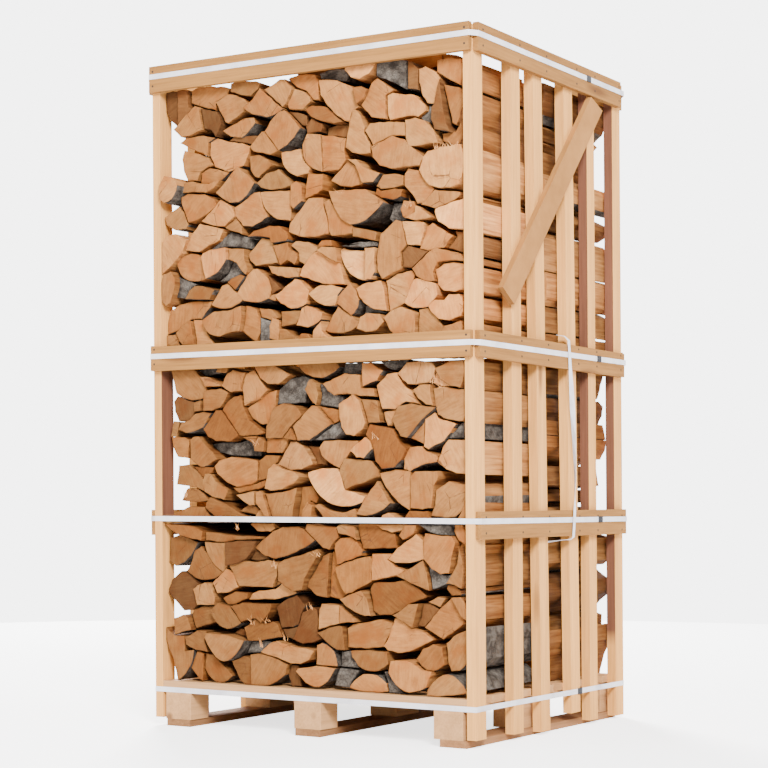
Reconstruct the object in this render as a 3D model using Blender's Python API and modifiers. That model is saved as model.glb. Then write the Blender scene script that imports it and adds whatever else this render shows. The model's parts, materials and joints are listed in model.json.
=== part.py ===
"""A pallet of split firewood: a block pallet, a nailed frame of posts, slats and rails, and two tiers of logs.

Metres, +Z up. The origin is on the floor, under the middle of the pallet's middle runner. The open
front, where the log ends show, faces -Y, and the slatted right side faces +X.
"""

import math
import random

import bmesh
import bpy
from mathutils import Matrix, Vector

# Overall
CRATE_WIDTH = 1.164  # over the outer faces of the posts, left to right
CRATE_DEPTH = 0.997  # over the posts, front to back
LEAN = 0.010  # the hand-nailed frame has racked this much to the left for each metre of height
GAP = 0.0003  # left between pieces that touch

# Posts and slats: one sawn stick, nailed to the ends of the deck boards
STICK_THICK = 0.030
STICK_WIDE = 0.060
POST_TOP = 2.083
SLAT_TOP = 2.075
POST_FEET = {"front": 0.025, "back": 0.010}
# For each slat: the front edge behind the crate's front, the foot's height, how far the top has
# swung forwards for each metre, and the width
RIGHT_SLATS = ((0.231, 0.020, 0.000, 0.060), (0.405, 0.010, 0.016, 0.060),
               (0.612, 0.048, 0.016, 0.062), (0.747, 0.013, 0.000, 0.054))
LEFT_SLATS = ((0.180, 0.018, 0.000, 0.060), (0.455, 0.014, 0.006, 0.060),
              (0.640, 0.030, 0.000, 0.058), (0.800, 0.012, 0.004, 0.060))

# Rails, the boards that tie the posts together
RAIL_THICK = 0.018
RAILS = {"top": (2.006, 2.088), "middle": (1.127, 1.204), "lower": (0.602, 0.682)}
FRONT_RAIL_HALF = {"top": 0.5815, "middle": 0.580}
FRONT_RAIL_DROOP = {"top": 0.0, "middle": 0.005}  # how much lower the left end is
SIDE_RAIL_START = 0.006  # behind the crate's front
SIDE_RAIL_END = {"top": 0.968, "middle": 0.982, "lower": 0.988}
SIDE_RAIL_RISE = {"top": 0.0, "middle": -0.007, "lower": 0.004}  # at the back end

# Brace, nailed over the slats of the right side: (depth from the middle, height) of its centre line
BRACE_LOW = (-0.318, 1.316)
BRACE_HIGH = (0.289, 1.986)
BRACE_WIDE = 0.082
BRACE_SKEW = {"low": 0.18, "high": 0.40}  # how far each end is cut off square, as a slope

# Pallet
RUNNER_THICK = 0.022
BLOCK_TALL = 0.075
BEARER_THICK = 0.022
DECK_THICK = 0.022
BLOCK_WIDE = 0.098
END_BLOCK_LONG = 0.090
MIDDLE_BLOCK_LONG = 0.140
BLOCK_INSET = 0.012  # behind the deck boards' ends
BLOCK_SHIFT = {"left": 0.000, "middle": 0.005, "right": -0.070}  # of each middle block, along Y
RUNNER_WIDE = 0.090
DECK_BOARDS = 7
DECK_BOARD_WIDE = 0.100

# Straps and their clips
STRAP_THICK = 0.0008
STRAP_WIDE = 0.016
STRAP_HEIGHTS = {"top": 2.055, "middle": 1.168, "lower": 0.6545, "base": 0.114}
CLIP_SIZE = (0.0022, 0.026, 0.019)
CLIP_DEPTHS = {"top": 0.228, "middle": 0.289, "lower": 0.291, "base": 0.171}
# The loose strap on the right side, over the middle rail and under the lower one: (out from the
# slats' faces, depth from the middle, height, twist in degrees)
TAIL_ROUTE = ((-0.016, 0.058, 1.230, 0), (0.008, 0.066, 1.226, 0), (0.0205, 0.071, 1.212, 0),
              (0.0215, 0.074, 1.168, 0), (0.0220, 0.078, 1.115, 10), (0.0225, 0.084, 1.055, 38),
              (0.0230, 0.090, 0.990, 75), (0.0235, 0.095, 0.920, 105), (0.0240, 0.099, 0.850, 122),
              (0.0240, 0.102, 0.780, 135), (0.0230, 0.102, 0.720, 160), (0.0225, 0.101, 0.682, 180),
              (0.0215, 0.098, 0.640, 180), (0.0205, 0.095, 0.602, 180), (0.0150, 0.090, 0.594, 180),
              (0.0020, 0.074, 0.592, 180), (-0.0120, 0.030, 0.589, 180), (-0.0180, -0.026, 0.586, 180))

# Logs
TIER_GAP = 0.008  # between the front tier's logs and the back tier's
PILE_TOP = 2.010
PILE_HALF = 0.548
COURSES = 22
LOG_WIDE = 0.106  # a typical log end
WEDGE_LEAN = (0.15, 0.75)  # how far the cut between two log ends leans, as a slope
GROOVE_DEEP = 0.030  # how far the gaps between the log ends go in
TIP_INSET = 0.004  # the boldest log end behind the crate's front
TIP_SPREAD = 0.016
SIDE_NOTCH = (0.012, 0.026)  # how far in the pile's sides go between two courses
SIDE_BULGE = 0.006
TOP_RIPPLE = 0.030

HALF_WIDTH = CRATE_WIDTH / 2
HALF_DEPTH = CRATE_DEPTH / 2
DECK_HALF = HALF_WIDTH - STICK_THICK - GAP
BLOCK_FOOT = RUNNER_THICK + GAP
BEARER_FOOT = BLOCK_FOOT + BLOCK_TALL + GAP
DECK_FOOT = BEARER_FOOT + BEARER_THICK + GAP
DECK_TOP = DECK_FOOT + DECK_THICK
PIVOT = DECK_FOOT + DECK_THICK / 2  # the height where the posts are nailed on, and lean from
LEAN_ANGLE = -math.atan(LEAN)

COLLECTION = "pallet_of_firewood"
WOODS = {"stick": (0.80, 0.62, 0.43), "rail": (0.72, 0.50, 0.29), "pallet": (0.66, 0.47, 0.30),
         "log": (0.70, 0.47, 0.29)}


def clear_scene():
    for obj in list(bpy.data.objects):
        bpy.data.objects.remove(obj)
    collection = bpy.data.collections.new(COLLECTION)
    bpy.context.scene.collection.children.link(collection)
    return collection


def material(name, color, roughness, metallic=0.0):
    made = bpy.data.materials.new(name)
    made.use_nodes = True
    shader = made.node_tree.nodes["Principled BSDF"]
    shader.inputs["Base Color"].default_value = (*color, 1.0)
    shader.inputs["Roughness"].default_value = roughness
    shader.inputs["Metallic"].default_value = metallic
    return made


def add_object(collection, name, data, finish):
    obj = bpy.data.objects.new(name, data)
    data.materials.append(finish)
    collection.objects.link(obj)
    return obj


def mesh_from(bm, name):
    bmesh.ops.recalc_face_normals(bm, faces=bm.faces)
    mesh = bpy.data.meshes.new(name)
    bm.to_mesh(mesh)
    bm.free()
    return mesh


def add_box(collection, name, size, centre, finish, turn=(0.0, 0.0, 0.0)):
    """A sawn piece of wood, or another plain block, placed by its middle."""
    bm = bmesh.new()
    bmesh.ops.create_cube(bm, size=1.0, matrix=Matrix.Diagonal((*size, 1.0)))
    obj = add_object(collection, name, mesh_from(bm, name), finish)
    obj.location = centre
    obj.rotation_euler = turn
    return obj


def leaned(x, height):
    """Where a point of the frame that would be at x has racked to."""
    return x - LEAN * (height - PIVOT)


def span(low, high):
    return high - low, (low + high) / 2


def add_pallet(collection, finish):
    rows = {"left": -1, "middle": 0, "right": 1}
    columns = {"front": -1, "middle": 0, "back": 1}
    block_x = DECK_HALF - BLOCK_INSET - BLOCK_WIDE / 2
    runner_x = {"left": -block_x, "middle": 0.0, "right": DECK_HALF - RUNNER_WIDE / 2}
    for side, way in rows.items():
        x = way * block_x
        size = (RUNNER_WIDE, CRATE_DEPTH, RUNNER_THICK)
        add_box(collection, f"runner_{side}", size, (runner_x[side], 0.0, RUNNER_THICK / 2), finish)
        size = (BLOCK_WIDE, CRATE_DEPTH, BEARER_THICK)
        add_box(collection, f"bearer_{side}", size, (x, 0.0, BEARER_FOOT + BEARER_THICK / 2), finish)
        for place, along in columns.items():
            long = END_BLOCK_LONG if along else MIDDLE_BLOCK_LONG
            y = along * (HALF_DEPTH - END_BLOCK_LONG / 2)
            if not along:
                y += BLOCK_SHIFT[side]
            size = (BLOCK_WIDE, long, BLOCK_TALL)
            centre = (x, y, BLOCK_FOOT + BLOCK_TALL / 2)
            add_box(collection, f"block_{place}_{side}", size, centre, finish)
    pitch = (CRATE_DEPTH - DECK_BOARD_WIDE) / (DECK_BOARDS - 1)
    for index in range(DECK_BOARDS):
        y = -HALF_DEPTH + DECK_BOARD_WIDE / 2 + index * pitch
        size = (2 * DECK_HALF, DECK_BOARD_WIDE, DECK_THICK)
        add_box(collection, f"deck_board_{index + 1}", size, (0.0, y, PIVOT), finish)


def add_stick(collection, name, side, y, foot, top, wide, swing, finish):
    """A post or slat on one side, leaning with the frame about the deck board it is nailed to."""
    long, middle = span(foot, top)
    x = leaned(side * (HALF_WIDTH - STICK_THICK / 2), middle)
    y -= swing * (middle - PIVOT)
    turn = (math.atan(swing), LEAN_ANGLE, 0.0)
    add_box(collection, name, (STICK_THICK, wide, long), (x, y, middle), finish, turn)


def add_sticks(collection, finish):
    for side_name, side, slats in (("left", -1, LEFT_SLATS), ("right", 1, RIGHT_SLATS)):
        for end_name, end in (("front", -1), ("back", 1)):
            y = end * (HALF_DEPTH - STICK_WIDE / 2)
            foot = POST_FEET[end_name]
            name = f"post_{end_name}_{side_name}"
            add_stick(collection, name, side, y, foot, POST_TOP, STICK_WIDE, 0.0, finish)
        for index, (start, foot, swing, wide) in enumerate(slats):
            y = -HALF_DEPTH + start + wide / 2
            name = f"slat_{side_name}_{index + 1}"
            add_stick(collection, name, side, y, foot, SLAT_TOP, wide, swing, finish)


def add_rails(collection, finish):
    for level, (foot, top) in RAILS.items():
        tall, middle = span(foot, top)
        long, y = span(SIDE_RAIL_START - HALF_DEPTH, SIDE_RAIL_END[level] - HALF_DEPTH)
        rise = SIDE_RAIL_RISE[level]
        for side_name, side in (("left", -1), ("right", 1)):
            x = leaned(side * (HALF_WIDTH + GAP + RAIL_THICK / 2), middle)
            centre = (x, y, middle + rise / 2)
            turn = (math.atan(rise / long), LEAN_ANGLE, 0.0)
            add_box(collection, f"rail_{side_name}_{level}", (RAIL_THICK, long, tall), centre, finish, turn)
        if level == "lower":
            continue
        half = FRONT_RAIL_HALF[level]
        droop = FRONT_RAIL_DROOP[level]
        for end_name, end in (("front", -1), ("back", 1)):
            y = end * (HALF_DEPTH + GAP + RAIL_THICK / 2)
            centre = (leaned(0.0, middle), y, middle - droop / 2)
            turn = (0.0, -math.atan(droop / (2 * half)), 0.0)
            add_box(collection, f"rail_{end_name}_{level}", (2 * half, RAIL_THICK, tall), centre, finish, turn)


def add_brace(collection, finish):
    run = Vector(BRACE_HIGH) - Vector(BRACE_LOW)
    middle = (Vector(BRACE_HIGH) + Vector(BRACE_LOW)) / 2
    x = leaned(HALF_WIDTH + GAP + RAIL_THICK / 2, middle.y)
    turn = Matrix.Rotation(LEAN_ANGLE, 4, "Y") @ Matrix.Rotation(-math.atan2(run.x, run.y), 4, "X")
    size = (RAIL_THICK, BRACE_WIDE, run.length)
    brace = add_box(collection, "brace_right", size, (x, middle.x, middle.y), finish)
    for vert in brace.data.vertices:
        vert.co.z += BRACE_SKEW["high" if vert.co.z > 0 else "low"] * vert.co.y
    brace.rotation_euler = turn.to_euler()


def add_strap(collection, level, corners, finish):
    """A taut strap: a closed band through the corners that it bears on."""
    middle = STRAP_HEIGHTS[level]
    bm = bmesh.new()
    ring = [bm.verts.new((leaned(x, middle), y, middle - STRAP_WIDE / 2)) for x, y in corners]
    edges = [bm.edges.new((ring[i], ring[(i + 1) % len(ring)])) for i in range(len(ring))]
    made = bmesh.ops.extrude_edge_only(bm, edges=edges)["geom"]
    raised = [item for item in made if isinstance(item, bmesh.types.BMVert)]
    bmesh.ops.translate(bm, verts=raised, vec=(0.0, 0.0, STRAP_WIDE))
    bmesh.ops.recalc_face_normals(bm, faces=bm.faces)
    mesh = bpy.data.meshes.new(f"strap_{level}")
    bm.to_mesh(mesh)
    bm.free()
    strap = add_object(collection, f"strap_{level}", mesh, finish)
    wall = strap.modifiers.new("Thickness", "SOLIDIFY")
    wall.thickness = STRAP_THICK
    wall.offset = 1.0


def mirrored(points):
    """Corners of the front right quarter, carried round to all four, in order."""
    right = points + [(x, -y) for x, y in reversed(points)]
    return right + [(-x, y) for x, y in reversed(right)]


def add_straps(collection, plastic, steel):
    rail_face = HALF_WIDTH + RAIL_THICK + 2 * GAP
    front_face = HALF_DEPTH + RAIL_THICK + 2 * GAP
    rail_end = HALF_DEPTH - SIDE_RAIL_START
    routes = {
        "top": [(FRONT_RAIL_HALF["top"], -front_face), (rail_face, -rail_end)],
        "middle": [(FRONT_RAIL_HALF["middle"], -front_face), (rail_face, -rail_end)],
        "lower": [(HALF_WIDTH + GAP, -HALF_DEPTH - GAP), (rail_face, -rail_end)],
        "base": [(HALF_WIDTH + GAP, -HALF_DEPTH - GAP)],
    }
    for level, quarter in routes.items():
        add_strap(collection, level, mirrored(quarter), plastic)
        reach = max(x for x, _ in quarter) + STRAP_THICK + GAP + CLIP_SIZE[0] / 2
        height = STRAP_HEIGHTS[level]
        centre = (leaned(reach, height), CLIP_DEPTHS[level], height)
        add_box(collection, f"clip_{level}", CLIP_SIZE, centre, steel)


def add_tail(collection, finish):
    """The loose strap: a flat ribbon with half a twist between the two rails, both ends tucked in."""
    route = [Vector((leaned(HALF_WIDTH + out, z), y, z)) for out, y, z, _ in TAIL_ROUTE]
    bm = bmesh.new()
    grid = bmesh.ops.create_grid(bm, x_segments=1, y_segments=len(route) - 1, size=1.0)["verts"]
    rows = [sorted(grid[2 * i:2 * i + 2], key=lambda vert: vert.co.x) for i in range(len(route))]
    for i, pair in enumerate(rows):
        run = (route[min(i + 1, len(route) - 1)] - route[max(i - 1, 0)]).normalized()
        across = Vector((0.0, 1.0, 0.0))
        across = (across - run * across.dot(run)).normalized() * STRAP_WIDE / 2
        across.rotate(Matrix.Rotation(math.radians(TAIL_ROUTE[i][3]), 3, run))
        pair[0].co = route[i] - across
        pair[1].co = route[i] + across
    mesh = bpy.data.meshes.new("strap_tail")
    bm.to_mesh(mesh)
    bm.free()
    tail = add_object(collection, "strap_tail", mesh, finish)
    wall = tail.modifiers.new("Thickness", "SOLIDIFY")
    wall.thickness = STRAP_THICK
    wall.offset = 0.0


def cut(bm, faces, point, normal):
    """Cuts these faces, and only these, along a plane."""
    parts = set(faces)
    for face in faces:
        parts.update(face.edges, face.verts)
    bmesh.ops.bisect_plane(bm, geom=list(parts), dist=1e-5, plane_co=point, plane_no=normal)


def lay_courses(bm, rng, low, high):
    """Parts one upright rectangle into log ends, course by course, as they lie in the pile."""
    tall = (high - low) / COURSES
    for course in range(1, COURSES):
        height = low + (course + rng.uniform(-0.12, 0.12)) * tall
        cut(bm, list(bm.faces), (0.0, 0.0, height), (rng.uniform(-0.02, 0.02), 0.0, 1.0))
    for course in sorted(bm.faces, key=lambda face: face.calc_center_median().z):
        height = course.calc_center_median().z
        x = -PILE_HALF + LOG_WIDE * rng.uniform(0.7, 1.2)
        rest = course
        way = rng.choice((-1, 1))
        while x < PILE_HALF - 0.7 * LOG_WIDE:
            cut(bm, [rest], (x, 0.0, height), (1.0, 0.0, way * rng.uniform(*WEDGE_LEAN)))
            way = -way
            near = [face for face in bm.faces if abs(face.calc_center_median().z - height) < 0.45 * tall]
            rest = max(near, key=lambda face: face.calc_center_median().x)
            x += LOG_WIDE * rng.uniform(0.80, 1.25)


def roughen(bm, rng, low, high):
    """Moves the corners of the log ends about, and rounds the pile's sides course by course."""
    for vert in bm.verts:
        x, _, z = vert.co
        at_top = z > high - 0.001
        at_foot = z < low + 0.001
        if abs(x) > PILE_HALF - 0.001:
            vert.co.x = math.copysign(PILE_HALF - rng.uniform(*SIDE_NOTCH), x)
        elif not at_top:
            vert.co.x += rng.uniform(-0.008, 0.008)
        if at_top:
            vert.co.z = high - rng.uniform(0.0, TOP_RIPPLE)
        elif not at_foot:
            vert.co.z += rng.uniform(-0.008, 0.008)
    sides = [edge for edge in bm.edges if edge.is_boundary
             and all(abs(vert.co.x) > PILE_HALF - SIDE_NOTCH[1] - 0.001 for vert in edge.verts)
             and abs(edge.verts[0].co.z - edge.verts[1].co.z) > 0.02]
    made = bmesh.ops.subdivide_edges(bm, edges=sides, cuts=1)["geom_inner"]
    for vert in made:
        if isinstance(vert, bmesh.types.BMVert):
            vert.co.x = math.copysign(PILE_HALF - rng.uniform(0.0, SIDE_BULGE), vert.co.x)


def add_tier(collection, name, way, seed, finish):
    """One tier of logs, lying front to back. way is -1 for the front tier and 1 for the back one."""
    rng = random.Random(seed)
    low = DECK_TOP + GAP
    bm = bmesh.new()
    bmesh.ops.create_grid(bm, x_segments=1, y_segments=1, size=1.0)
    outer = way * (HALF_DEPTH - GROOVE_DEEP)
    inner = way * TIER_GAP / 2
    tall, middle = span(low, PILE_TOP)
    place = (Matrix.Translation((0.0, outer, middle)) @ Matrix.Rotation(math.pi / 2, 4, "X")
             @ Matrix.Diagonal((PILE_HALF, tall / 2, 1.0, 1.0)))
    bmesh.ops.transform(bm, matrix=place, verts=bm.verts)
    lay_courses(bm, rng, low, PILE_TOP)
    roughen(bm, rng, low, PILE_TOP)
    ends = list(bm.faces)
    made = bmesh.ops.extrude_face_region(bm, geom=ends)["geom"]
    copies = [item for item in made if isinstance(item, bmesh.types.BMFace)]
    moved = [item for item in made if isinstance(item, bmesh.types.BMVert)]
    bmesh.ops.translate(bm, verts=moved, vec=(0.0, inner - outer, 0.0))
    ends = [face for face in bm.faces if all(abs(vert.co.y - outer) < 1e-6 for vert in face.verts)]
    bmesh.ops.dissolve_faces(bm, faces=copies, use_verts=True)
    bmesh.ops.recalc_face_normals(bm, faces=bm.faces)
    for face in ends:
        reach = GROOVE_DEEP - TIP_INSET - rng.uniform(0.0, TIP_SPREAD)
        bmesh.ops.inset_individual(bm, faces=[face], thickness=rng.uniform(0.005, 0.009), depth=reach)
    for vert in bm.verts:
        vert.co.x = leaned(vert.co.x, vert.co.z)
    add_object(collection, name, mesh_from(bm, name), finish)


def main():
    collection = clear_scene()
    finishes = {name: material(f"{name}_wood", color, 0.8) for name, color in WOODS.items()}
    plastic = material("strap_plastic", (0.82, 0.80, 0.82), 0.4)
    steel = material("clip_steel", (0.10, 0.10, 0.11), 0.4, 1.0)
    add_pallet(collection, finishes["pallet"])
    add_sticks(collection, finishes["stick"])
    add_rails(collection, finishes["rail"])
    add_brace(collection, finishes["rail"])
    add_straps(collection, plastic, steel)
    add_tail(collection, plastic)
    add_tier(collection, "logs_front_tier", -1, 11, finishes["log"])
    add_tier(collection, "logs_back_tier", 1, 23, finishes["log"])


main()
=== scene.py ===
# %% [markdown]
# # A pallet of firewood
# A tall crate of split logs on a block pallet, with a nailed frame and white straps round it.
# The frame's wood and the straps are the fixed parts of the model, and this script gives them their
# finishes. It makes the logs one by one, in place of the two plain blocks that stand for them.

import json
import math
import random

import bmesh
import bpy
from mathutils import Matrix, Vector

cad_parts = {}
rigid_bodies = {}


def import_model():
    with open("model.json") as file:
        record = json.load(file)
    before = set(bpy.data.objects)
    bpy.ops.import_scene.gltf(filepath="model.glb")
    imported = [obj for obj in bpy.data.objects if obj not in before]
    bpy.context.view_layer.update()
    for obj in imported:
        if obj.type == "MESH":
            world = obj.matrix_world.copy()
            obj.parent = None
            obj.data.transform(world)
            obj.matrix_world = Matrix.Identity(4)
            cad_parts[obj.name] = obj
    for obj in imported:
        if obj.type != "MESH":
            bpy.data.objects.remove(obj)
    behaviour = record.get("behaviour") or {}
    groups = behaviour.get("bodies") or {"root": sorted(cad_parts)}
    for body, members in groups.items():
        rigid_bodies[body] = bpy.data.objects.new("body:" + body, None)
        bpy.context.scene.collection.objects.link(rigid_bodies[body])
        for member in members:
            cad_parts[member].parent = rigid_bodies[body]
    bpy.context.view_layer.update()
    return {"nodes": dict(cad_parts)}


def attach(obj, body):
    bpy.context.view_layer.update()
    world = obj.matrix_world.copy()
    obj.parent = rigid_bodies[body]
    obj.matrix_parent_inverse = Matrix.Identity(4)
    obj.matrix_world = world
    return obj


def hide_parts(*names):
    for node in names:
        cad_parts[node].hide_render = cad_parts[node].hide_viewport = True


for thing in list(bpy.data.objects):
    bpy.data.objects.remove(thing)
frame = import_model()
nodes = frame["nodes"]
print("fixed parts:", len(nodes))

# %% [markdown]
# The crate leans a little to the left, as the nailed frame has racked. Every log and nail is made in
# the upright crate and then moved over by the same lean, so that it stays against its neighbours.

# %% Sizes
HALF_WIDTH = 0.582
HALF_DEPTH = 0.4985
RAIL_THICK = 0.018
LEAN = 0.010
LEAN_FROM = 0.1309
TIER_GAP = 0.008
TIP_INSET = 0.006
DECK_TOP = 0.1420
CM = 0.01


def leaned(x, z):
    """Where a point of the upright crate has racked to."""
    return x - LEAN * (z - LEAN_FROM)


def joined_piece(name, bm, finish):
    """Makes the finished mesh work one object, which sits at the origin."""
    mesh = bpy.data.meshes.new(name)
    bm.to_mesh(mesh)
    bm.free()
    mesh.materials.append(finish)
    made = bpy.data.objects.new(name, mesh)
    bpy.context.scene.collection.objects.link(made)
    return made


# %% [markdown]
# ## The camera
# The photograph was taken with a long lens from low down, level, and from the front right. The shift
# keeps the camera level, so that the posts stay parallel.

# %% Camera
camera_data = bpy.data.cameras.new("camera")
camera = bpy.data.objects.new("camera", camera_data)
bpy.context.scene.collection.objects.link(camera)
camera_data.sensor_width = 36.0
camera_data.lens = 91.58
camera_data.shift_y = 0.1493
camera_data.clip_start = 0.1
camera_data.clip_end = 60.0
camera.location = (3.3075, -5.3935, 0.7191)
camera.rotation_euler = (math.radians(90.0), math.radians(-0.1243), math.radians(31.8215))
bpy.context.scene.camera = camera
print("camera lens:", camera_data.lens)

# %% [markdown]
# ## Finishes
# Each effect is a node group, so that several materials share it, and each puts out a colour and a
# height. First come small helpers that make such a group, add a node to it, and mix two colours.

# %% Helpers for nodes
SOCKETS = {"color": "NodeSocketColor", "value": "NodeSocketFloat", "vector": "NodeSocketVector"}
TWO_TONES = {"Light": "color", "Dark": "color"}
UNSCALED = 1.0


def new_group(name, inputs):
    """Returns the group, what it is given and what it puts out."""
    tree = bpy.data.node_groups.new(name, "ShaderNodeTree")
    for socket, kind in inputs.items():
        tree.interface.new_socket(name=socket, in_out="INPUT", socket_type=SOCKETS[kind])
    for socket, kind in (("Color", "color"), ("Height", "value")):
        tree.interface.new_socket(name=socket, in_out="OUTPUT", socket_type=SOCKETS[kind])
    return tree, tree.nodes.new("NodeGroupInput").outputs, tree.nodes.new("NodeGroupOutput").inputs


def feed(tree, socket, value):
    """Links a socket to another node, or sets it to a plain value."""
    if isinstance(value, bpy.types.NodeSocket):
        tree.links.new(value, socket)
    else:
        socket.default_value = value


def add(tree, kind, inputs=None, **settings):
    node = tree.nodes.new("ShaderNode" + kind)
    for name, value in settings.items():
        setattr(node, name, value)
    for socket, value in (inputs or {}).items():
        feed(tree, node.inputs[socket], value)
    return node


def math_of(tree, operation, a, b=0.5, c=0.5):
    return add(tree, "Math", {0: a, 1: b, 2: c}, operation=operation).outputs[0]


def vector_of(tree, operation, a, b):
    return add(tree, "VectorMath", {0: a, 1: b}, operation=operation).outputs[0]


def blend(tree, factor, a, b, way="MIX"):
    return add(tree, "Mix", {0: factor, 6: a, 7: b}, data_type="RGBA", blend_type=way).outputs[2]


def spread(tree, value, low, high):
    """Stretches a value between two levels to the whole of 0 to 1."""
    return add(tree, "MapRange", {0: value, 1: low, 2: high}).outputs[0]


def noise(tree, place, scale, detail, rough=0.5):
    sockets = {"Vector": place, "Scale": scale, "Detail": detail, "Roughness": rough}
    return add(tree, "TexNoise", sockets).outputs[0]


def cell_edges(tree, place, scale):
    """How far each point is from the nearest line between irregular cells."""
    sockets = {"Vector": place, "Scale": scale}
    return add(tree, "TexVoronoi", sockets, feature="DISTANCE_TO_EDGE").outputs["Distance"]


def own_place(tree):
    return add(tree, "TexCoord").outputs["Object"]


def put_out(tree, result, colour, height):
    tree.links.new(colour, result["Color"])
    tree.links.new(height, result["Height"])


# %% [markdown]
# Sawn wood has streaks along the grain, broader patches and, now and then, a long dark knot. The
# grain's direction comes in as how fast the pattern changes along each axis.

# %% Sawn wood
DARK_BROWN = (0.10, 0.035, 0.012, 1.0)
BROADER = (0.16, 0.16, 0.16)

tree, given, result = new_group(
    "Sawn wood", {**TWO_TONES, "Grain": "vector", "Knot spacing": "vector", "Seed": "value"})
place = own_place(tree)
shift = add(tree, "CombineXYZ", {axis: given["Seed"] for axis in range(3)}).outputs[0]
along = vector_of(tree, "ADD", vector_of(tree, "MULTIPLY", place, given["Grain"]), shift)
fine = noise(tree, along, UNSCALED, 5.0, 0.65)
patches = noise(tree, vector_of(tree, "MULTIPLY", along, BROADER), UNSCALED, 3.0)
knot_place = vector_of(tree, "ADD", vector_of(tree, "MULTIPLY", place, given["Knot spacing"]), shift)
nearest = add(tree, "TexVoronoi", {"Vector": knot_place, "Scale": UNSCALED, "Randomness": 1.0})
knots = math_of(tree, "SUBTRACT", 1.0, spread(tree, nearest.outputs["Distance"], 0.07, 0.17))
patches = math_of(tree, "MULTIPLY", spread(tree, patches, 0.3, 0.7), 0.45)
mixed = math_of(tree, "MULTIPLY_ADD", spread(tree, fine, 0.32, 0.70), 0.55, patches)
wood = blend(tree, mixed, given["Light"], given["Dark"])
wood = blend(tree, math_of(tree, "MULTIPLY", knots, 0.7), wood, DARK_BROWN)
put_out(tree, result, wood, math_of(tree, "SUBTRACT", fine, math_of(tree, "MULTIPLY", knots, 0.3)))
sawn_group = tree

# %% [markdown]
# A log's end was cut with a chain saw: faint strokes run across it at the log's own slant, over
# mottled wood with amber patches, and here and there it has cracked as it dried. Its colour and slant
# are stored with its faces: the slant's first and last numbers are a direction, and the middle one
# moves the patches and cracks, so that no two logs share them.

# %% Cut ends
tree, given, result = new_group("Cut end", {"Tone": "color"})
tone = given["Tone"]
place = own_place(tree)
slant = add(tree, "Attribute", attribute_name="slant").outputs["Vector"]
x, _, z = add(tree, "SeparateXYZ", {0: place}).outputs
slant_x, seed, slant_z = add(tree, "SeparateXYZ", {0: slant}).outputs
across = math_of(tree, "MULTIPLY_ADD", z, slant_z, math_of(tree, "MULTIPLY", x, slant_x))
against = math_of(tree, "MULTIPLY", x, math_of(tree, "MULTIPLY", slant_z, -1.0))
down = math_of(tree, "MULTIPLY_ADD", z, slant_x, against)
stroke_place = add(tree, "CombineXYZ", {0: math_of(tree, "MULTIPLY", across, 170.0), 1: seed,
                                        2: math_of(tree, "MULTIPLY", down, 22.0)}).outputs[0]
strokes = noise(tree, stroke_place, UNSCALED, 3.0)
mottle = noise(tree, place, 26.0, 6.0, 0.6)
specks = noise(tree, place, 210.0, 2.0)
shade = math_of(tree, "MULTIPLY", spread(tree, strokes, 0.34, 0.66), 0.36)
shade = math_of(tree, "MULTIPLY_ADD", spread(tree, mottle, 0.38, 0.70), 0.45, shade)
shade = math_of(tree, "MULTIPLY_ADD", spread(tree, specks, 0.50, 0.75), 0.16, shade)
deep = blend(tree, 1.0, tone, (0.52, 0.42, 0.36, 1.0), "MULTIPLY")
cut = blend(tree, shade, tone, deep)

log_place = vector_of(tree, "ADD", place, seed)
heart = spread(tree, noise(tree, log_place, 15.0, 4.0, 0.55), 0.50, 0.68)
amber = blend(tree, 1.0, tone, (0.74, 0.52, 0.34, 1.0), "MULTIPLY")
cut = blend(tree, math_of(tree, "MULTIPLY", heart, 0.75), cut, amber)

wander = noise(tree, log_place, 60.0, 2.0)
lines = math_of(tree, "MULTIPLY_ADD", wander, 0.045, cell_edges(tree, log_place, 13.0))
cracks = math_of(tree, "SUBTRACT", 1.0, spread(tree, lines, 0.022, 0.034))
cracked_here = spread(tree, noise(tree, log_place, 11.0, 1.0), 0.56, 0.62)
cracks = math_of(tree, "MULTIPLY", cracks, cracked_here)
cut = blend(tree, math_of(tree, "MULTIPLY", cracks, 0.85), cut, DARK_BROWN)
height = math_of(tree, "SUBTRACT", math_of(tree, "MULTIPLY_ADD", strokes, 0.5, mottle), cracks)
put_out(tree, result, cut, height)
end_group = tree

# %% [markdown]
# A split side shows torn fibres along the log. Bark is grey and brown, with fine cracks and a few
# pale patches.

# %% Split sides and bark
tree, given, result = new_group("Split side", {"Tone": "color"})
place = own_place(tree)
fibres = noise(tree, vector_of(tree, "MULTIPLY", place, (95.0, 5.0, 95.0)), UNSCALED, 5.0, 0.6)
stain_and_shade = spread(tree, noise(tree, place, 9.0, 3.0), 0.5, 0.72)
deep = blend(tree, 1.0, given["Tone"], (0.48, 0.38, 0.32, 1.0), "MULTIPLY")
torn = blend(tree, spread(tree, fibres, 0.34, 0.66), given["Tone"], deep)
torn = blend(tree, math_of(tree, "MULTIPLY", stain_and_shade, 0.5), torn, deep)
put_out(tree, result, torn, fibres)
split_group = tree

tree, given, result = new_group("Bark", TWO_TONES)
place = own_place(tree)
rough = noise(tree, place, 34.0, 7.0, 0.65)
lichen = spread(tree, noise(tree, place, 14.0, 4.0), 0.58, 0.70)
bark = blend(tree, spread(tree, rough, 0.40, 0.66), given["Dark"], given["Light"])
bark = blend(tree, math_of(tree, "MULTIPLY", lichen, 0.5), bark, (0.18, 0.155, 0.13, 1.0))
plates = spread(tree, cell_edges(tree, place, 90.0), 0.0, 0.08)
put_out(tree, result, bark, math_of(tree, "MULTIPLY_ADD", plates, 0.4, rough))
bark_group = tree


# %% Materials from the groups
def opaque(colour, lift=1.0):
    return (*[lift * part for part in colour], 1.0)


def two_tones(light, dark, lift=1.0):
    return {"Light": opaque(light, lift), "Dark": opaque(dark, lift)}


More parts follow.
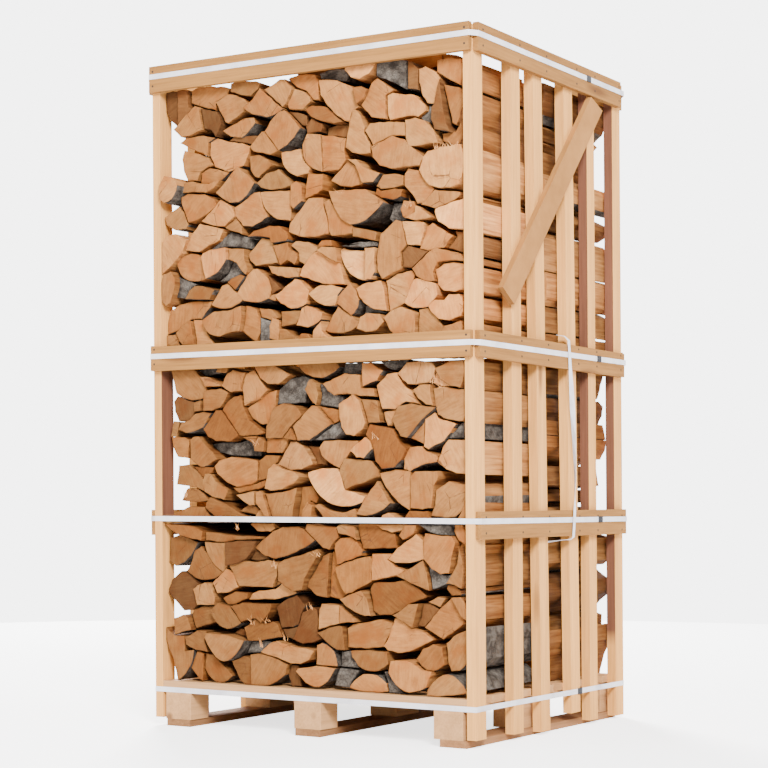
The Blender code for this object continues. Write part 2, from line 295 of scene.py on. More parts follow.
def new_material(name, group, inputs, roughness, bump, distance, tone=None):
    """A material from a group and its values. A tone names the attribute that has each log's colour."""
    made = bpy.data.materials.new(name)
    made.use_nodes = True
    tree = made.node_tree
    shader = tree.nodes["Principled BSDF"]
    shader.inputs["Roughness"].default_value = roughness
    shader.inputs["Specular IOR Level"].default_value = 0.10
    effect = tree.nodes.new("ShaderNodeGroup")
    effect.node_tree = group
    for socket, value in inputs.items():
        effect.inputs[socket].default_value = value
    if tone:
        source = add(tree, "Attribute", attribute_name=tone)
        tree.links.new(source.outputs["Color"], effect.inputs["Tone"])
    raised = add(tree, "Bump", {"Strength": bump, "Distance": distance, "Height": effect.outputs["Height"]})
    tree.links.new(effect.outputs["Color"], shader.inputs["Base Color"])
    tree.links.new(raised.outputs[0], shader.inputs["Normal"])
    return made


BARK_TONES = ((0.120, 0.099, 0.080), (0.036, 0.028, 0.022))
END_WOOD = new_material("log_ends", end_group, {}, 0.85, 0.7, 0.0022, "tone")
SPLIT_WOOD = new_material("log_split_sides", split_group, {}, 0.85, 0.9, 0.004, "tone")
BARK = new_material("log_bark", bark_group, two_tones(*BARK_TONES), 0.9, 0.9, 0.005)
LOG_FINISHES = (END_WOOD, SPLIT_WOOD, BARK)
ON_END, ON_SPLIT, ON_BARK = range(3)

# %% [markdown]
# The sticks are pale, the rails more yellow and the pallet a little soiled. Each piece of wood has its
# own finish, so that no two share the same streaks. Three sticks have one dark red-brown side, as they
# have on the real crate; the colour is partly their weathered stain and partly painted shade, as these
# faces stand in shadow.

# %% Finishes of the frame's wood
STICK = ((0.76, 0.375, 0.108), (0.48, 0.215, 0.056))
# The dark red-brown of three sticks' shaded sides: partly weathered stain, partly painted shade.
STAIN_AND_SHADE = ((0.175, 0.070, 0.038), (0.098, 0.038, 0.021))
RAIL = ((0.36, 0.166, 0.044), (0.185, 0.080, 0.020))
BRACE = ((0.37, 0.172, 0.050), (0.25, 0.108, 0.028))
PALLET = ((0.55, 0.300, 0.132), (0.35, 0.180, 0.074))
RUNNER = ((0.33, 0.160, 0.068), (0.165, 0.076, 0.032))
UP = ((150.0, 150.0, 5.0), (9.0, 9.0, 1.7))
SIDEWAYS = ((5.0, 150.0, 150.0), (1.7, 9.0, 9.0))
DEEP = ((150.0, 5.0, 150.0), (9.0, 1.7, 9.0))
SLANTING = ((150.0, 14.0, 14.0), (9.0, 2.4, 2.4))


def wood_of(name):
    """The two tones of a piece and the direction of its grain and knots."""
    if name.startswith(("post", "slat")):
        return STICK, UP
    if name.startswith("rail"):
        return RAIL, (DEEP if "_left_" in name or "_right_" in name else SIDEWAYS)
    if name.startswith("brace"):
        return BRACE, SLANTING
    if name.startswith("runner"):
        return RUNNER, DEEP
    return PALLET, (SIDEWAYS if name.startswith("deck") else DEEP)


def wood_values(tones, direction, seed, lift=1.0):
    """The sawn wood group's values for one piece."""
    grain, knots = direction
    return {**two_tones(*tones, lift), "Grain": grain, "Knot spacing": knots, "Seed": seed}


chance = random.Random(5)
wooden = [name for name in sorted(nodes) if not name.startswith(("strap", "clip", "logs"))]
for name in wooden:
    tones, direction = wood_of(name)
    lift = chance.uniform(0.92, 1.06)
    values = wood_values(tones, direction, chance.uniform(0.0, 40.0), lift)
    nodes[name].data.materials.clear()
    nodes[name].data.materials.append(new_material(f"{name}_wood", sawn_group, values, 0.75, 0.5, 0.0012))
print("pieces of wood:", len(wooden))

# %% The sides with weathered stain and painted shade
# Each stick, its dark face and the heights it runs between; these faces are partly painted shade.
STAINED_AND_SHADED_SIDES = (("post_back_right", (0, -1, 0), 0.24, 3.00),
                 ("slat_right_4", (0, -1, 0), 0.62, 3.00),
                 ("post_front_left", (1, 0, 0), 0.62, 1.17))
STAIN_AND_SHADE_EDGE = 0.05
STAIN_AND_SHADE_SEED = 7.0


def stained_and_shaded_finish(name, low, high):
    """A stick's finish, dark red-brown between two heights (stain and painted shade), and pale above and
    below them.
    """
    made = new_material(name, sawn_group, wood_values(STAIN_AND_SHADE, UP, STAIN_AND_SHADE_SEED), 0.8, 0.5, 0.0012)
    tree = made.node_tree
    socket = tree.nodes["Principled BSDF"].inputs["Base Color"]
    # The dark red-brown: partly weathered stain, partly painted shade.
    stain_and_shade = socket.links[0].from_socket
    pale = tree.nodes.new("ShaderNodeGroup")
    pale.node_tree = sawn_group
    for entry_name, value in wood_values(STICK, UP, STAIN_AND_SHADE_SEED).items():
        pale.inputs[entry_name].default_value = value
    height = add(tree, "SeparateXYZ", {0: own_place(tree)}).outputs[2]
    above = spread(tree, height, low, low + STAIN_AND_SHADE_EDGE)
    inside = math_of(tree, "MULTIPLY", above, spread(tree, height, high, high - STAIN_AND_SHADE_EDGE))
    tree.links.new(blend(tree, inside, pale.outputs["Color"], stain_and_shade), socket)
    return made


for name, facing, low, high in STAINED_AND_SHADED_SIDES:
    nodes[name].data.materials.append(stained_and_shaded_finish(f"{name}_stain", low, high))
    for face in nodes[name].data.polygons:
        if face.normal.dot(Vector(facing)) > 0.9:
            face.material_index = 1
print("stained sides:", len(STAINED_AND_SHADED_SIDES))

# %% [markdown]
# The straps are white plastic with fine ribs, and their seals and the nails are dark steel.

# %% Straps, clips and nails
STRAP_TONES = ((0.66, 0.645, 0.67), (0.48, 0.46, 0.49))
STEEL_TONES = ((0.045, 0.045, 0.05), (0.012, 0.012, 0.015))
NAIL_TONES = ((0.060, 0.045, 0.038), (0.015, 0.011, 0.010))

tree, given, result = new_group("Ribbed strap", TWO_TONES)
place = own_place(tree)
ribs = add(tree, "TexWave", {"Vector": place, "Scale": 180.0, "Distortion": 1.0}, bands_direction="Z")
smears = spread(tree, noise(tree, place, 12.0, 4.0), 0.45, 0.75)
put_out(tree, result, blend(tree, smears, given["Light"], given["Dark"]), ribs.outputs["Fac"])
STRAP = new_material("strap_plastic", tree, two_tones(*STRAP_TONES), 0.42, 0.25, 0.0004)

tree, given, result = new_group("Worn steel", TWO_TONES)
wear = noise(tree, own_place(tree), 300.0, 3.0)
put_out(tree, result, blend(tree, wear, given["Dark"], given["Light"]), wear)
STEEL = new_material("clip_steel", tree, two_tones(*STEEL_TONES), 0.5, 0.3, 0.0003)
STEEL.node_tree.nodes["Principled BSDF"].inputs["Metallic"].default_value = 0.2
NAIL = new_material("nail_iron", tree, two_tones(*NAIL_TONES), 0.7, 0.3, 0.0003)
for name, node in nodes.items():
    if name.startswith(("strap", "clip")):
        node.data.materials.clear()
        node.data.materials.append(STRAP if name.startswith("strap") else STEEL)

# %% [markdown]
# ## The log ends
# Each log of the front tier was read from the photograph as it lies: its tone, how far in
# centimetres its end is set back (or, below zero, sticks out), and the corners of its end, as
# distance from the crate's middle and height, anticlockwise. A third number is how far the edge to
# the next corner bulges out: that edge is the bark of the round trunk. A line that starts with a space
# goes on with the log above it.
# Tones: w very pale, c cream, t tan, o orange, b brown, k bark all over. Some dark b and k logs set
# well back are partly painted shade: they fill dark gaps between the logs, and the shade under the top
# rail.

# %% Outlines of the log ends
LOGS = """
t0 -54.8,31 -55,27 -51.8,20.5 -50.2,14.3,1.5 -43.9,24.2 -47.6,23.6 -47.4,28.4 -51.5,28.4
t0 -47.3,28.2 -46.8,25.8 -43,24.3 -38.4,23.8 -39.6,27 -38.8,30.2 -42.5,30.4 -44.3,29.3
c-1 -38.7,28.4,6.9 -23.5,28 -30,29.4 -38.2,29.8
t0 -40.2,23.3 -40.7,18.5,3.4 -30,16.6 -33.5,19.8 -37.5,22.9
t0 -30,21.3 -27.5,16.5,1 -22.7,14.3 -23,22.6 -25.5,23
t0 -22.4,14.3,1.6 -9.6,18 -8.7,21.2 -14.5,23.2 -20,24 -22.6,23.6
t0 -51.8,33.9 -51.6,28.8 -45,30.5 -46.4,34.3 -48.3,35.1
t0 -45.8,35 -44.3,30.9 -40,32.2 -35.5,33.3 -37.6,36.5 -36.5,38 -41,38 -45,36.9
b0 -55,42 -51.8,39.4 -48.5,36.4 -45,36.8 -43.3,38.5 -44.5,43.3 -42.7,44.8 -47.5,48.4 -49.3,48.9 -53.3,46
c0 -44.2,43.3 -42.7,38.4 -36,38.6 -35.7,41 -37.5,45.2 -39.5,45.5 -42.5,44.6
t0 -47.8,48.9,2.6 -33.5,48.6 -37.5,51.7 -39.7,54.5 -42,56.8 -44.5,55.5 -46,51.5
c0 -36.8,45.4 -35,42.3 -31,42.6 -26.9,44.4 -29,48.6 -31.4,50 -33.5,48.2
t0 -37.5,36.5,3.4 -25.5,33.3 -29.6,38.2 -34.5,39.3
o0 -29.2,38.4 -25.3,33.7 -20.2,35.1 -17.8,33.7 -14.4,37.2 -13.7,39.7 -20,39.5 -24.5,39.7
o0 -33.2,40.8 -31.3,38.8 -29,38.9 -24,40.9 -23.7,42.5 -28.5,42.9
c0 -23.7,40.5 -14,40.9 -8.6,42.1 -5.6,43.2 -9.2,44.6 -11.2,45.9 -13.5,44.1 -20,43.4 -22.3,42.5
t0 -28.8,48 -26.8,44.7 -14.3,44.6 -12.6,48 -12.2,52.4 -16,53 -20,52.2 -24.5,52.6 -30.3,51.4 -30.5,50.6
o0 -24.9,31.9 -23.6,27.9 -19,28.1 -14.8,28.9 -10.4,29.5 -12.3,33.5 -14,34.1 -17.5,33.2 -20.3,34.7
b2 -30,30 -28,29.3 -24,28.4 -25,31.2 -28,31.3
c0 -18.4,24.6 -10.5,22.6 -7.3,21.6 -3.8,21.6 -0.6,23 1.4,25.8 -2.7,26.5 -7.4,27 -12.4,28.3 -15.2,27.3
c0 2,21.7 9.6,21.5,1.8 4,28.3 2.3,27.6
c-1 -5.3,19.4,5.2 9,20.8 2,21.3 -4.6,20.2
b0 -7.2,29 -3.5,27.7 0.8,28.4 3.5,29.5 1.8,31.8 2.2,35 1.7,38.2 0.3,38.9 -3.5,37.3 -4.9,33.5
b0 -13.2,38.5 -11.4,32.3 -7.3,32.6 -5.3,33.4 -3.8,37.4 -2.4,39.3 -5.8,42.4 -10,40.8
c0 2.8,32.3 7,33.7 10.2,34.4 10.3,39.8 4,40.1 3.2,38.5
c0 10.6,34.5 16.8,35.1 10.8,39.7
t0 2.4,31.3 3.8,30.3 7,27.8 9.6,26.5 12.4,26.5 11.6,33.4 10,33.7 6.8,33
t0 12.6,27.3 20,27.2 25.3,28 26.2,30.2 28.3,33.2 28.6,35.2 24,36 20,35.1 14.5,34.3 12.5,33
c0 13.4,15.2 18,14.4 23,14.3 26.8,14.8 26.4,17.2,3.2 13.8,16
t0 14.8,24.6 17,22,0.8 24,20.8 27.5,23 27,26.6 20,26.8 14.5,26.4
c0 29,24 28.3,20.5,3.4 41,16.8 42.8,20.5 43,21.5 39.5,21.8 36.8,23.6 34,24.4
c0 40.7,14.3 44.2,14.3 49.5,14.9 54.4,15.8,5.0 41,16.2
t0 37.3,25 39,23,0.8 44,22 46.8,23.7 46,28.7 43,29.5 39.5,28
t0 46.7,29.8 47.3,24 48.3,21.8 51,22.1,1.2 54.8,28 54.8,34.2 50,32.5
c0 25.6,28.2 27,27 30.5,26.4 34.5,27 39.5,29.2 42.8,30.8 39.5,32.8 35.3,33.9 30.6,36.8 29.6,36.6
 27.6,31.2
t0 29.5,37.5 36.2,34 38.4,41.2 35,40.9 31.8,38.6
t0 39.5,34.2 45.7,31 52.9,36 52,38.5 48.8,43.2 44.5,39.6
t0 49.3,43.3 52.3,38 54.8,36.8 54.8,43.5
o0 20.8,45 21.8,38.5 24,37.3 28,37.5 31.5,38.9 35,41.2 40.3,43.2 37.3,45.7 33,47.9 27.5,47.1 22,46.9
c0 10.9,41.7 13,39.8 16.5,38 20,37 21.8,37.1 20.6,42 18.5,44.5 14,43
c0 40.8,41.7 44.8,40.3 46.7,42.9 44,43.3
t0 -54.3,59.3 -54.6,52 -52,50.4,1.3 -43.3,58 -50.3,60.5
o0 -55.3,63.8 -50.5,60.9 -45,59.4 -40.4,58.6 -39.8,61.6 -44,63.1
t0 -54.3,64.6 -37,64.6 -40.5,69.2 -46.5,69.3 -52.5,67
t0 -39.4,69 -34,64.7 -22,64.7 -21.5,65.8 -26,67.3 -31,70 -37.7,72.2 -39.2,70.4
t0 -49.2,71.2 -43.8,70.7 -38.6,71.2 -40.7,73.3 -43.3,74.9 -47,75.1
t0 -51.1,76.3 -47.5,75.9 -43,75.3 -40.4,74.2 -40.5,77.5 -43,80.4 -46.2,82.6 -50.2,82.3
t0 -40.2,74 -37.3,72.4 -32.6,71.4 -31,74.5 -36,77.3 -37.7,79.5 -40,79.6 -40.8,77.5
o0 -44.5,81.8 -41.2,78.6 -37.5,79.9 -36.6,81.6 -40,81.9
t0 -36,81.9 -35,79.7 -31,76.8 -27.5,75.5 -22,76.2 -19.6,77.5 -19.5,83.5 -23.4,84.2 -29.5,84.8 -34.2,83.7
o0 -19,83.5 -19.3,77.5 -16,78.2 -14.8,81.5 -12.3,83 -11,85 -16.5,85.2
o0 -29.3,75.2 -27,73.6 -19.5,74.8 -16.5,76 -17,77.5 -22,76.2
c0 -27,73 -24.2,71 -21.8,69.7 -20.2,69.9 -20,74.2
t0 -26.8,67.8 -20.3,66.8 -19.3,68.3 -21,69.6 -23.5,69.8
t0 -39.6,58.7 -33.5,58.3 -26.5,59 -19,59.4 -19,60.2 -28,60.3 -39.6,61.4
c0 -40.4,58.2,1.6 -33.4,48.9 -31.6,50.5 -31.7,58.2 -36,58
b0 -31.3,58.2 -31.3,51 -26.5,51.8 -23.5,53.2 -20.5,56.2 -19.3,58.7 -26,58.8
t0 -20.8,56.6 -17,54.2 -13,53.4,0.8 1.6,59.4 -1.5,62 -4.6,63.3 -10.4,63.2 -14,61.8 -18,59
c0 -16,74.9 -14,74.3 -9.7,74.7 -5.2,76.5 -3.2,78.4 -5,79.9 -9.5,81 -12.6,82.5 -14.7,80.8
w0 -12.2,82.2 -7.2,80.5 -3.5,80.8 0.8,82.3 0,84.3 -2.6,87.8 -5,89.3 -7.3,89.3 -9.7,85.7
b3 0.9,82.4 4.5,82 3,87.4 -2.4,88 0.2,84.3
c0 3,87.3 3.9,84.9 7,82.6 10.3,81.1 12,83.5 14,85.8 17,87.6 17,89.2 10,89.5 4.7,89.3
t0 10.8,81.2 10.7,79.5 12.6,74.6 15.3,75.8 19.5,76.8 24.3,78.5 24.4,80.3 22,83 18,83.6 14.5,83.8 12.3,84
c0 15.2,86.3 17.5,84.2 20,83.9 22.9,86.6 22.4,88.8 20.5,90.2 17.2,88
w0 -0.9,79.8 -0.9,78.8,4.8 18.5,70.8 19.5,72.5 14.5,74 12.3,74.5 10.6,79.8 9.5,80.9 4.6,81.1
t0 -16.6,73.4 -13.7,65 -6.8,65 -6.2,69.5 -4.8,75.2 -10.4,73.8
t0 -3.8,64.8 0.3,64.8 0.5,69.8 -1.2,70.9 -2.9,68.5
c0 1,69.6 5.4,64.9 16,64.9 16.2,67.5 15.5,68.9 10.8,67.6 8,68 4.6,69 2.6,70.3
c0 16.3,67.2 19.5,66.8 22,67.2,0.5 28.2,70.6 25,75.3 23.8,77.1 19.5,72.2
w0 24,64.9 30.5,64.9 29,66.9 27,67.7 25,67
c0 24.2,79.5,1.5 34.6,68.4 35,72 34.9,80.2 29.5,80.5
t0 35.6,78.5 35.5,69.2 39.5,68.8 42.5,69.2 43.2,74.8 45,78.5 44.5,80 37,79.9
c0 42,66.9 46.8,66.4 50.3,66.8,0.8 54.6,72.8 53.8,76.1 50,76.3 48,77 43.5,74.2 43.4,70
o0 32,64.9 42,64.9 41.8,66.6 41,68.3 35,68.3
t0 50.6,64.9 54.8,64.9 54.8,71.5 52.8,69.3
c0 44.3,82.5 47.2,80.5 50.7,79.3 54.8,78.9 54.6,86.5 53.8,89 48,89.1 46,86.8
c0 32.8,80.6 35,80 38.8,81.8 44,82.7 44.5,84.3 40,86 39,87.3 35,87 33,83.7
o0 23.2,86.8 23.9,83 26,80.8 30.5,81.2 32.8,83.3 34.6,86.6 32,88.8 30,92.5 26.5,93.2 22,94 20.5,91
 22.3,88.9
o0 16.4,63.4 18.3,56.8 24,57.2 30.3,57.3 29.3,61.5 25,62.6 22.8,64.2 17,64.2
c0 23.5,64.2 25.5,62.8 29,61.9 32.5,62.6 33.5,64.3
t0 32.2,61 33.5,59.9 37.3,61.8 38.3,64.3 34.3,64.3
c0 27.6,54 30,53,0.5 40.2,54.3 39.9,59.5 37.3,61.6 35,59.9 30.8,57.3
t0 40.4,54.3 43,51.5 46,50 48.8,50.3 50,56 51,59.2 49.8,61 44.8,61.3 41,61.8 40.3,60
t0 48,47.3 50.7,47 54.8,46 54.8,58 51.8,53 49.8,49.8
c0 51.3,59.8 54.8,58.6 54.8,64.3 50,64.3 49.8,62.5
k0 38.6,64.3 42,62.3 44.9,61.6 49.3,61.3 49.5,64.3
t0 -1.6,62.6 1.6,59.8 4.8,57 7,56.5 8.3,58.5 10.3,60.2 9.5,63.3 -1,64.2
o0 8.5,57 9.4,52 13.5,53.4 18,54.9 18.7,56.3 16.5,59 14.5,60.4 10.8,60 8.6,58.2
c0 10.6,61.5 14.6,60.7 17,59.6 16.2,63.6 11.5,64.2 9.8,63.2
o0 9,51.3,0.8 12.6,43.2 14.8,43.7 18,45.5 21.8,47.3 21.6,50 22.2,54 21,54.7 17.5,54.1 13.5,53
c0 22,47.6 27.5,48.6 31,49.4 33.5,50.8 30.3,51.8 27.5,53.9 29.3,55.6 22.3,55.5 21.9,51
t0 30.5,49.2 35.2,47.2 39.5,45.8 41.8,45.1 41,50 39.8,53.9 34.3,51
t0 -11.2,46.8 -9,45.2 -5.8,43.6 -2.5,44.2 -1.6,47.5 1.3,51.7 3.9,55.7 3.1,56.6 -1.5,55.1 -8.8,53.2
 -11.3,51.8
t0 -1.9,45 1.5,42.5 5.2,42 5.7,50 6.2,55.5 3.9,54.5 1.6,50.8 -1.3,47
t0 -22.5,63.8 -20,61.8 -15,61.7 -13.2,62.8 -14,64.2 -22,64.2
c0 -20.9,66 -21,64.9 -14.7,64.9 -17.5,68.6 -19.3,68.2
t0 -19.6,73.8 -19.5,70.5 -14.9,64.9 -14,65 -16.9,73.5 -18,74.3
t0 -16,86 -10.3,85.9 -8.5,88.5 -7.8,90.3 -15.8,90.3
t0 -52.8,112.5 -50.8,105.2,1.4 -39.7,103.4 -38.9,106.5 -41,109.9 -44,112.6
c0 -38.8,106.8 -32.8,106.9 -34.5,108.5 -37.5,109.8 -40.7,110
b0 -51.9,102.5 -51.5,99.5 -49.9,96.3 -45.5,96.2 -43.5,99 -43.3,102 -46,102.6 -50.4,104.2
t0 -42.9,99.2 -40.4,99.4 -40.3,102.6 -42.9,102
t0 -39.7,99.2 -36.3,99.3 -33,100.3 -30.8,103 -29.9,104.8 -33,106.1 -36.5,105.9 -39.3,105.6
t0 -49.2,93.6 -46.3,92.5 -43,93 -39.6,94.2 -36.2,98.5 -39.5,98.9 -42.6,98.4 -44.8,96.5 -48,95.7
t0 -53.3,91.5 -51,91.2 -50.6,93.5 -49.8,96 -52.2,96.4
t0 -53,91.3 -52.4,88 -50.6,85 -46.6,84.5 -46.2,90.2 -48,91.2
t0 -45.6,90.5 -45.3,84.3 -42.5,82.4,0.5 -38.5,82.3 -35,84.1 -36.6,86.3 -40,89.2 -42,91.3 -44.3,91.2
o0 -39.8,93.5 -38,91.2 -34.9,89.8 -29.3,89.6 -26.2,91.3 -32.8,99.4 -34.9,99.4
k4 -39.5,89 -36.3,86.3 -30,85.2 -20.5,85 -20.3,88.5 -25,90.5 -29,89.3 -35,89.4
o0 -32.5,99.4 -26,91.4 -19.5,91.4 -15.9,92 -19,93.7 -22.3,96 -24.6,100.3 -25.6,103.9 -28,103.5 -31,101.5
t0 -32.4,107 -29,104.9 -24.9,105.2 -24.6,108 -23.3,110.8 -28,111.8 -30,110.8 -31.2,109.3
c0 -24.9,106 -24.1,100.6 -18.4,102.6 -15.3,105.2 -17.8,108 -20.2,111.6 -23.5,110.3
t0 -34.4,111.3 -30.5,110.9 -29.8,112.5 -33.5,112.8
k2 -44,112.6 -40.5,110.4 -35,111 -34.5,112.9 -43,113.2
c0 -19.8,112.8 -17.6,109 -14.8,107.1 -10.8,106.9 -6.3,109.5 -12,112.8
k2 -13.2,100.8 -8.5,101 -3,101.1 -1.8,105 -0.5,108.4 -3.5,109.4 -8.5,108.4 -12.3,105.3
t0 -1.3,105 1.5,101 2.8,100.1 3.6,103.5 2.6,106.8 0.8,108.1 -0.3,107
t0 -4.8,112.8,3.8 10.8,111.5 9.5,112.9
t0 5,106.5 7,104.3 9,103 14,103.4 18.5,102.5 23.5,102.3 23.3,104.6 18.6,105 18.3,108.8 13,109.4 9,108
w0 18.6,112.5 18.8,105.3 23.8,107 26,109.9 22,112.4
t0 -24,99.8 -22,96.7 -19,94.9,0.4 -15.2,95.3 -13.4,100.5 -12.8,105.2 -15.6,104.6
t0 -15.3,90.4 -15.1,94 -12.4,99.8 -8.5,100.9 -3.7,99.6 -2,97.3 -6.5,93.6 -9.3,90.4
o0 -9,90.4 -6.3,93.3 -4.4,90 -5,89.6
t0 -5.5,93.8 -3.8,89.5 0.5,89.6 8.6,94.3 3.2,99.8 1.5,100 -1.8,97.2
o1 8.8,94.5 11,95.5 11,98.5 4.5,99.6 3.6,99.5
k1 2,89.7 9,89.9 12,92 11.5,95 8.8,94
c0 11.5,100.2 11.7,96 12.4,93.3 14,91.1 16.8,90.6 19.8,92.6 20.8,94.5 18.5,101.2 16.2,103
t0 21.2,94.4 25.4,94.6 24.4,101 18.9,101.5
c0 25.9,97.6 26.4,95.2 27.2,93.4 28.8,93.4 29.8,96 30,98.2
c0 23.9,105.5 25,101 25.8,98.5 30.3,98.3 31.9,99.4 34,100.5 37,100 39.5,99.3 36.3,103.2 33.4,105
 31,109.2 27.6,108.8
t0 29.7,95.2 32.8,90.3 35,89.8 40,95 43.5,97.5 44.8,98.6 39.8,99.2 36.5,99.8 32,99.2
c0 35.2,89.7 39.5,88 39.9,94.6
c0 39.9,87.2 41.3,86.4 46.6,88.8 50.8,93.6 44.8,95.4 43.5,97 40.3,95.2
t0 37.3,103.8 39,101.3 41.8,99.4 44.1,99 43.2,102 43.1,105.2 39.6,105.2
w0 31.5,108.8 33.3,106.8 35,105.6 38,105.4 42,105.8 43.8,107.6 44.5,109.6 43.5,111.5 39.5,112.3 34.8,112
t0 44.6,109.8 46.5,106.5 49.8,104.6 54.8,104 54.8,112 50.3,112
c0 43.4,104 43.9,100 45,96.5 46.8,95.4 50.7,94.6 54.8,94.4 54.8,103.6 49.8,104 46,104.5
k2 24.5,112.8 27,110.8 29.5,110 33,111 34.5,113
t0 -19.8,86.5 -16.5,86.3 -16,89.5 -18.3,90.9 -20,89
o0 -25.5,91 -21,88.8 -19.6,91.2
t0 -55.6,124 -51.2,125 -48.3,126.6 -45.5,128.4 -41.5,128.4 -38.2,131.8 -37.2,133.7 -45,134
 -50.3,133.2 -53.8,131.3
t0 -55.5,120.3 -49.8,120.3 -49.9,122.3 -51.2,123.8 -55.4,123.6
t0 -50.6,124.2 -49.2,121.5 -48,120.3 -43.5,120.3 -44.8,127.8 -48,126.5
c0 -43.3,120.3 -36.8,120.3 -39.3,124 -40.2,128.1 -44.5,128.2
c0 -39.8,127.6,1.6 -33,122.3 -29.5,123.3 -25.4,123.7 -24.5,128 -24.6,131.5 -30,130.2 -35,130.2
t0 -25.2,123.8 -21.5,121 -20,120.3 -18.6,123 -18.5,127 -20,130.3 -23.8,131.6 -24.3,128
t0 -46.4,134.7 -37,134.1 -35,137 -39.5,138.4 -42.7,138.6 -44.7,137.3
c0 -37.7,132.6,2.0 -25.2,133.8 -28.2,136.2 -31.2,139 -33.5,138.4
c0 -27.8,135.4 -25,133.2,0.8 -15.5,133.6 -14.4,136.5 -15.5,139.5 -19.8,142.9 -21.3,142.9 -23.5,141.4
b2 -14.2,134.6 -10.7,136.2 -12.5,138 -15.4,140.5 -14.3,137
c-1 -55.3,144.7 -54.6,143 -52.1,144.7 -49.4,146.9 -46.8,149.2 -46,150.8 -45,153.3 -49.5,155.4
 -52.6,155 -54.6,153
c0 -50.2,146.2,2.2 -41.5,140.2 -37.8,140.9 -38.9,144.8 -40,147.5 -41.6,148.5 -44.6,149 -47.7,148.2
t0 -29.5,146.2 -26.5,145 -24.4,142.2 -23.2,141.2 -22.4,143 -23.6,146 -23.7,149.1 -29.6,149.6
c0 -47,150.1 -41.2,149.4 -38.8,150.5 -33.4,152.5 -31.6,155.8 -35,156.7 -41,158.2 -44.5,154.5
k3 -38.5,149.6 -31.3,150.6 -22.6,149.4 -22.3,152.3 -30,155 -31.8,154
t0 -31.3,156.3 -29.5,155.4 -24.6,153.7 -25,156.2 -27.2,158.9
c0 -40.2,158.9 -35,157.1 -31.2,156.7 -27.3,159.5 -28.5,162.6 -32.8,165 -36.5,161.5
t0 -55.2,161 -53.8,158.6 -50.5,156.8 -46.3,156.9 -45.4,158.2 -47.2,162.3 -49,164.2 -52.5,162.5
t0 -47.7,165 -45,158.8 -41.5,159.5 -37.7,161 -34,163.6 -35,165.3 -38.8,167.2 -45.3,167.8 -47.7,167
c0 -28,162.3 -27.3,159.5 -24.6,156.4 -21,156 -17.8,157.2 -15.2,158.6 -17,161.5 -18.2,166.5
 -20.3,166.3 -24.2,164
c0 -34.8,167.5,4.6 -20,169.3 -22,171.4 -26.5,175 -31,170.6
c0 -18,166.3,1.6 -11.8,157.6 -7,156.8 -6.5,160.2 -6.4,166.1 -10.5,166.2
t0 -6.1,161.3 -5,160.1 -1.9,162.2 -1.8,166.8 -3.8,168.4 -5.9,167.4
o0 -1.6,163 0.5,163.6 3,164.3 4.8,165.3 5.2,170 -0.3,170.5 -1.3,166.5
c0 -7.3,153.3 -3.5,151.7 2,151.2 7.3,151.8 6.8,156 5.5,160 5,162.8 0,163 -6.8,156
t0 7.6,152.5 8.6,151 16.2,151.1 16.3,153.3 14.8,154.9 12.7,156.5 9,160.5 7.7,162 5.8,161.2 7,157.5
c-1 8.3,164.4,8.4 27.6,159.5 25,161.5 21.5,163.8 13,164.3
w0 14.2,200.2 16.3,197.8 19.4,196.9 22.6,198.1 24.7,200.2 24.7,200.9 14.2,200.9
t0 -47.6,182 -48.6,179.2 -48,175.5 -46.3,172.2 -42.8,172 -41.6,174.6 -38.4,176.1 -36.3,176.4
 -38.4,179 -42,180.5
c-3 -54.6,170.5 -54.4,166.6 -52.4,165.2,1.4 -47.2,170.4 -48.9,173 -52.3,173.7
b2 -30.8,183.5 -25.4,182.5 -21.9,181.6 -19.8,184.2 -23.6,184.4 -28.6,185
b4 4.7,182.1 9,181.5 13.6,180.3 14.4,184.4 12,184.7 8,185 5,184.4
t1 46.5,176.2 50,174.8 54.8,175.2 54.8,181.5 52,180.2 50.8,178.6 46.2,178.4
k2 40.8,181 43.8,182.8 43.9,186.2 41.8,187.2 41.4,185.3 39,183.8
o0 -22.3,152.8 -18.3,152.7 -14,151.9 -13.6,150.4 -8,150.6 -7.2,151.6 -7.6,153.3 -10.5,155.3
 -14,155.6 -20,154.4
w-1 -39.4,147.5 -38.7,144 -37.6,140.6,1.2 -29.7,146.2 -30,149.8 -35.8,149.5 -38.8,148.5
k1 -35,139.8 -28,139.9 -24.9,141.6 -26.4,144.6 -29.4,145.8 -31.4,142.4
c-3 -54.7,140.6 -54.6,134.4 -53,132.7 -51.4,133.6 -49.6,138.8 -49.5,141.4 -51,143.6 -54,142.8
k1 -51.8,135.6 -46.8,135.1 -44.8,138.2 -42.5,139.2 -46.5,140.8 -50,142 -49.4,139.8 -50,137.6
t1 -30.9,139.3 -28,136.8 -24.2,140.8 -26,141.4 -29.5,140.3
t1 -15.2,133.4 -12.8,132.6 -11.2,134.8 -14,134.4
b1 33.6,140 36.4,139.7 40,142.5 42.3,144.2 38.8,145.2 35.4,146.2 33.4,144.3
w0 44.7,155.2 45.8,152.6 49.4,150.3 54.8,149.8 54.8,158.6 50,157.8 44.9,156.3
b1 47.6,144.9 54.8,143.2 54.8,149.2 50,149.7 50.7,148.2
k2 18.4,126.9 21.4,127.6 26.6,127 19.4,130 18.6,129.6
o2 -6.3,65 -4,65 -3.2,68.8 -1.5,71.3 0.4,70.5 1.4,72.2 -0.8,75.8 -4.6,75.4
k1 3.2,100.2 10.9,99.2 11.4,102.6 7,104.1 5,106 3.2,106.6 3.9,103.5
k3 10.6,109.6 18.2,109.2 18.3,112.6 11.5,112.6
k1 47.5,89.6 53.8,89.5 54.8,94 51.2,93.3
w1 43.3,105.6 46,104.8 49,104.6 46.3,106.6 44.4,109.2
o2 5.5,42.3 9.8,41.6 11.8,43.3 8.6,51 9,56.2 6.7,55.8 5.9,49
t1 -14,44.9 -11.4,46.2 -11.2,52.2 -12.1,52.6 -12.5,48
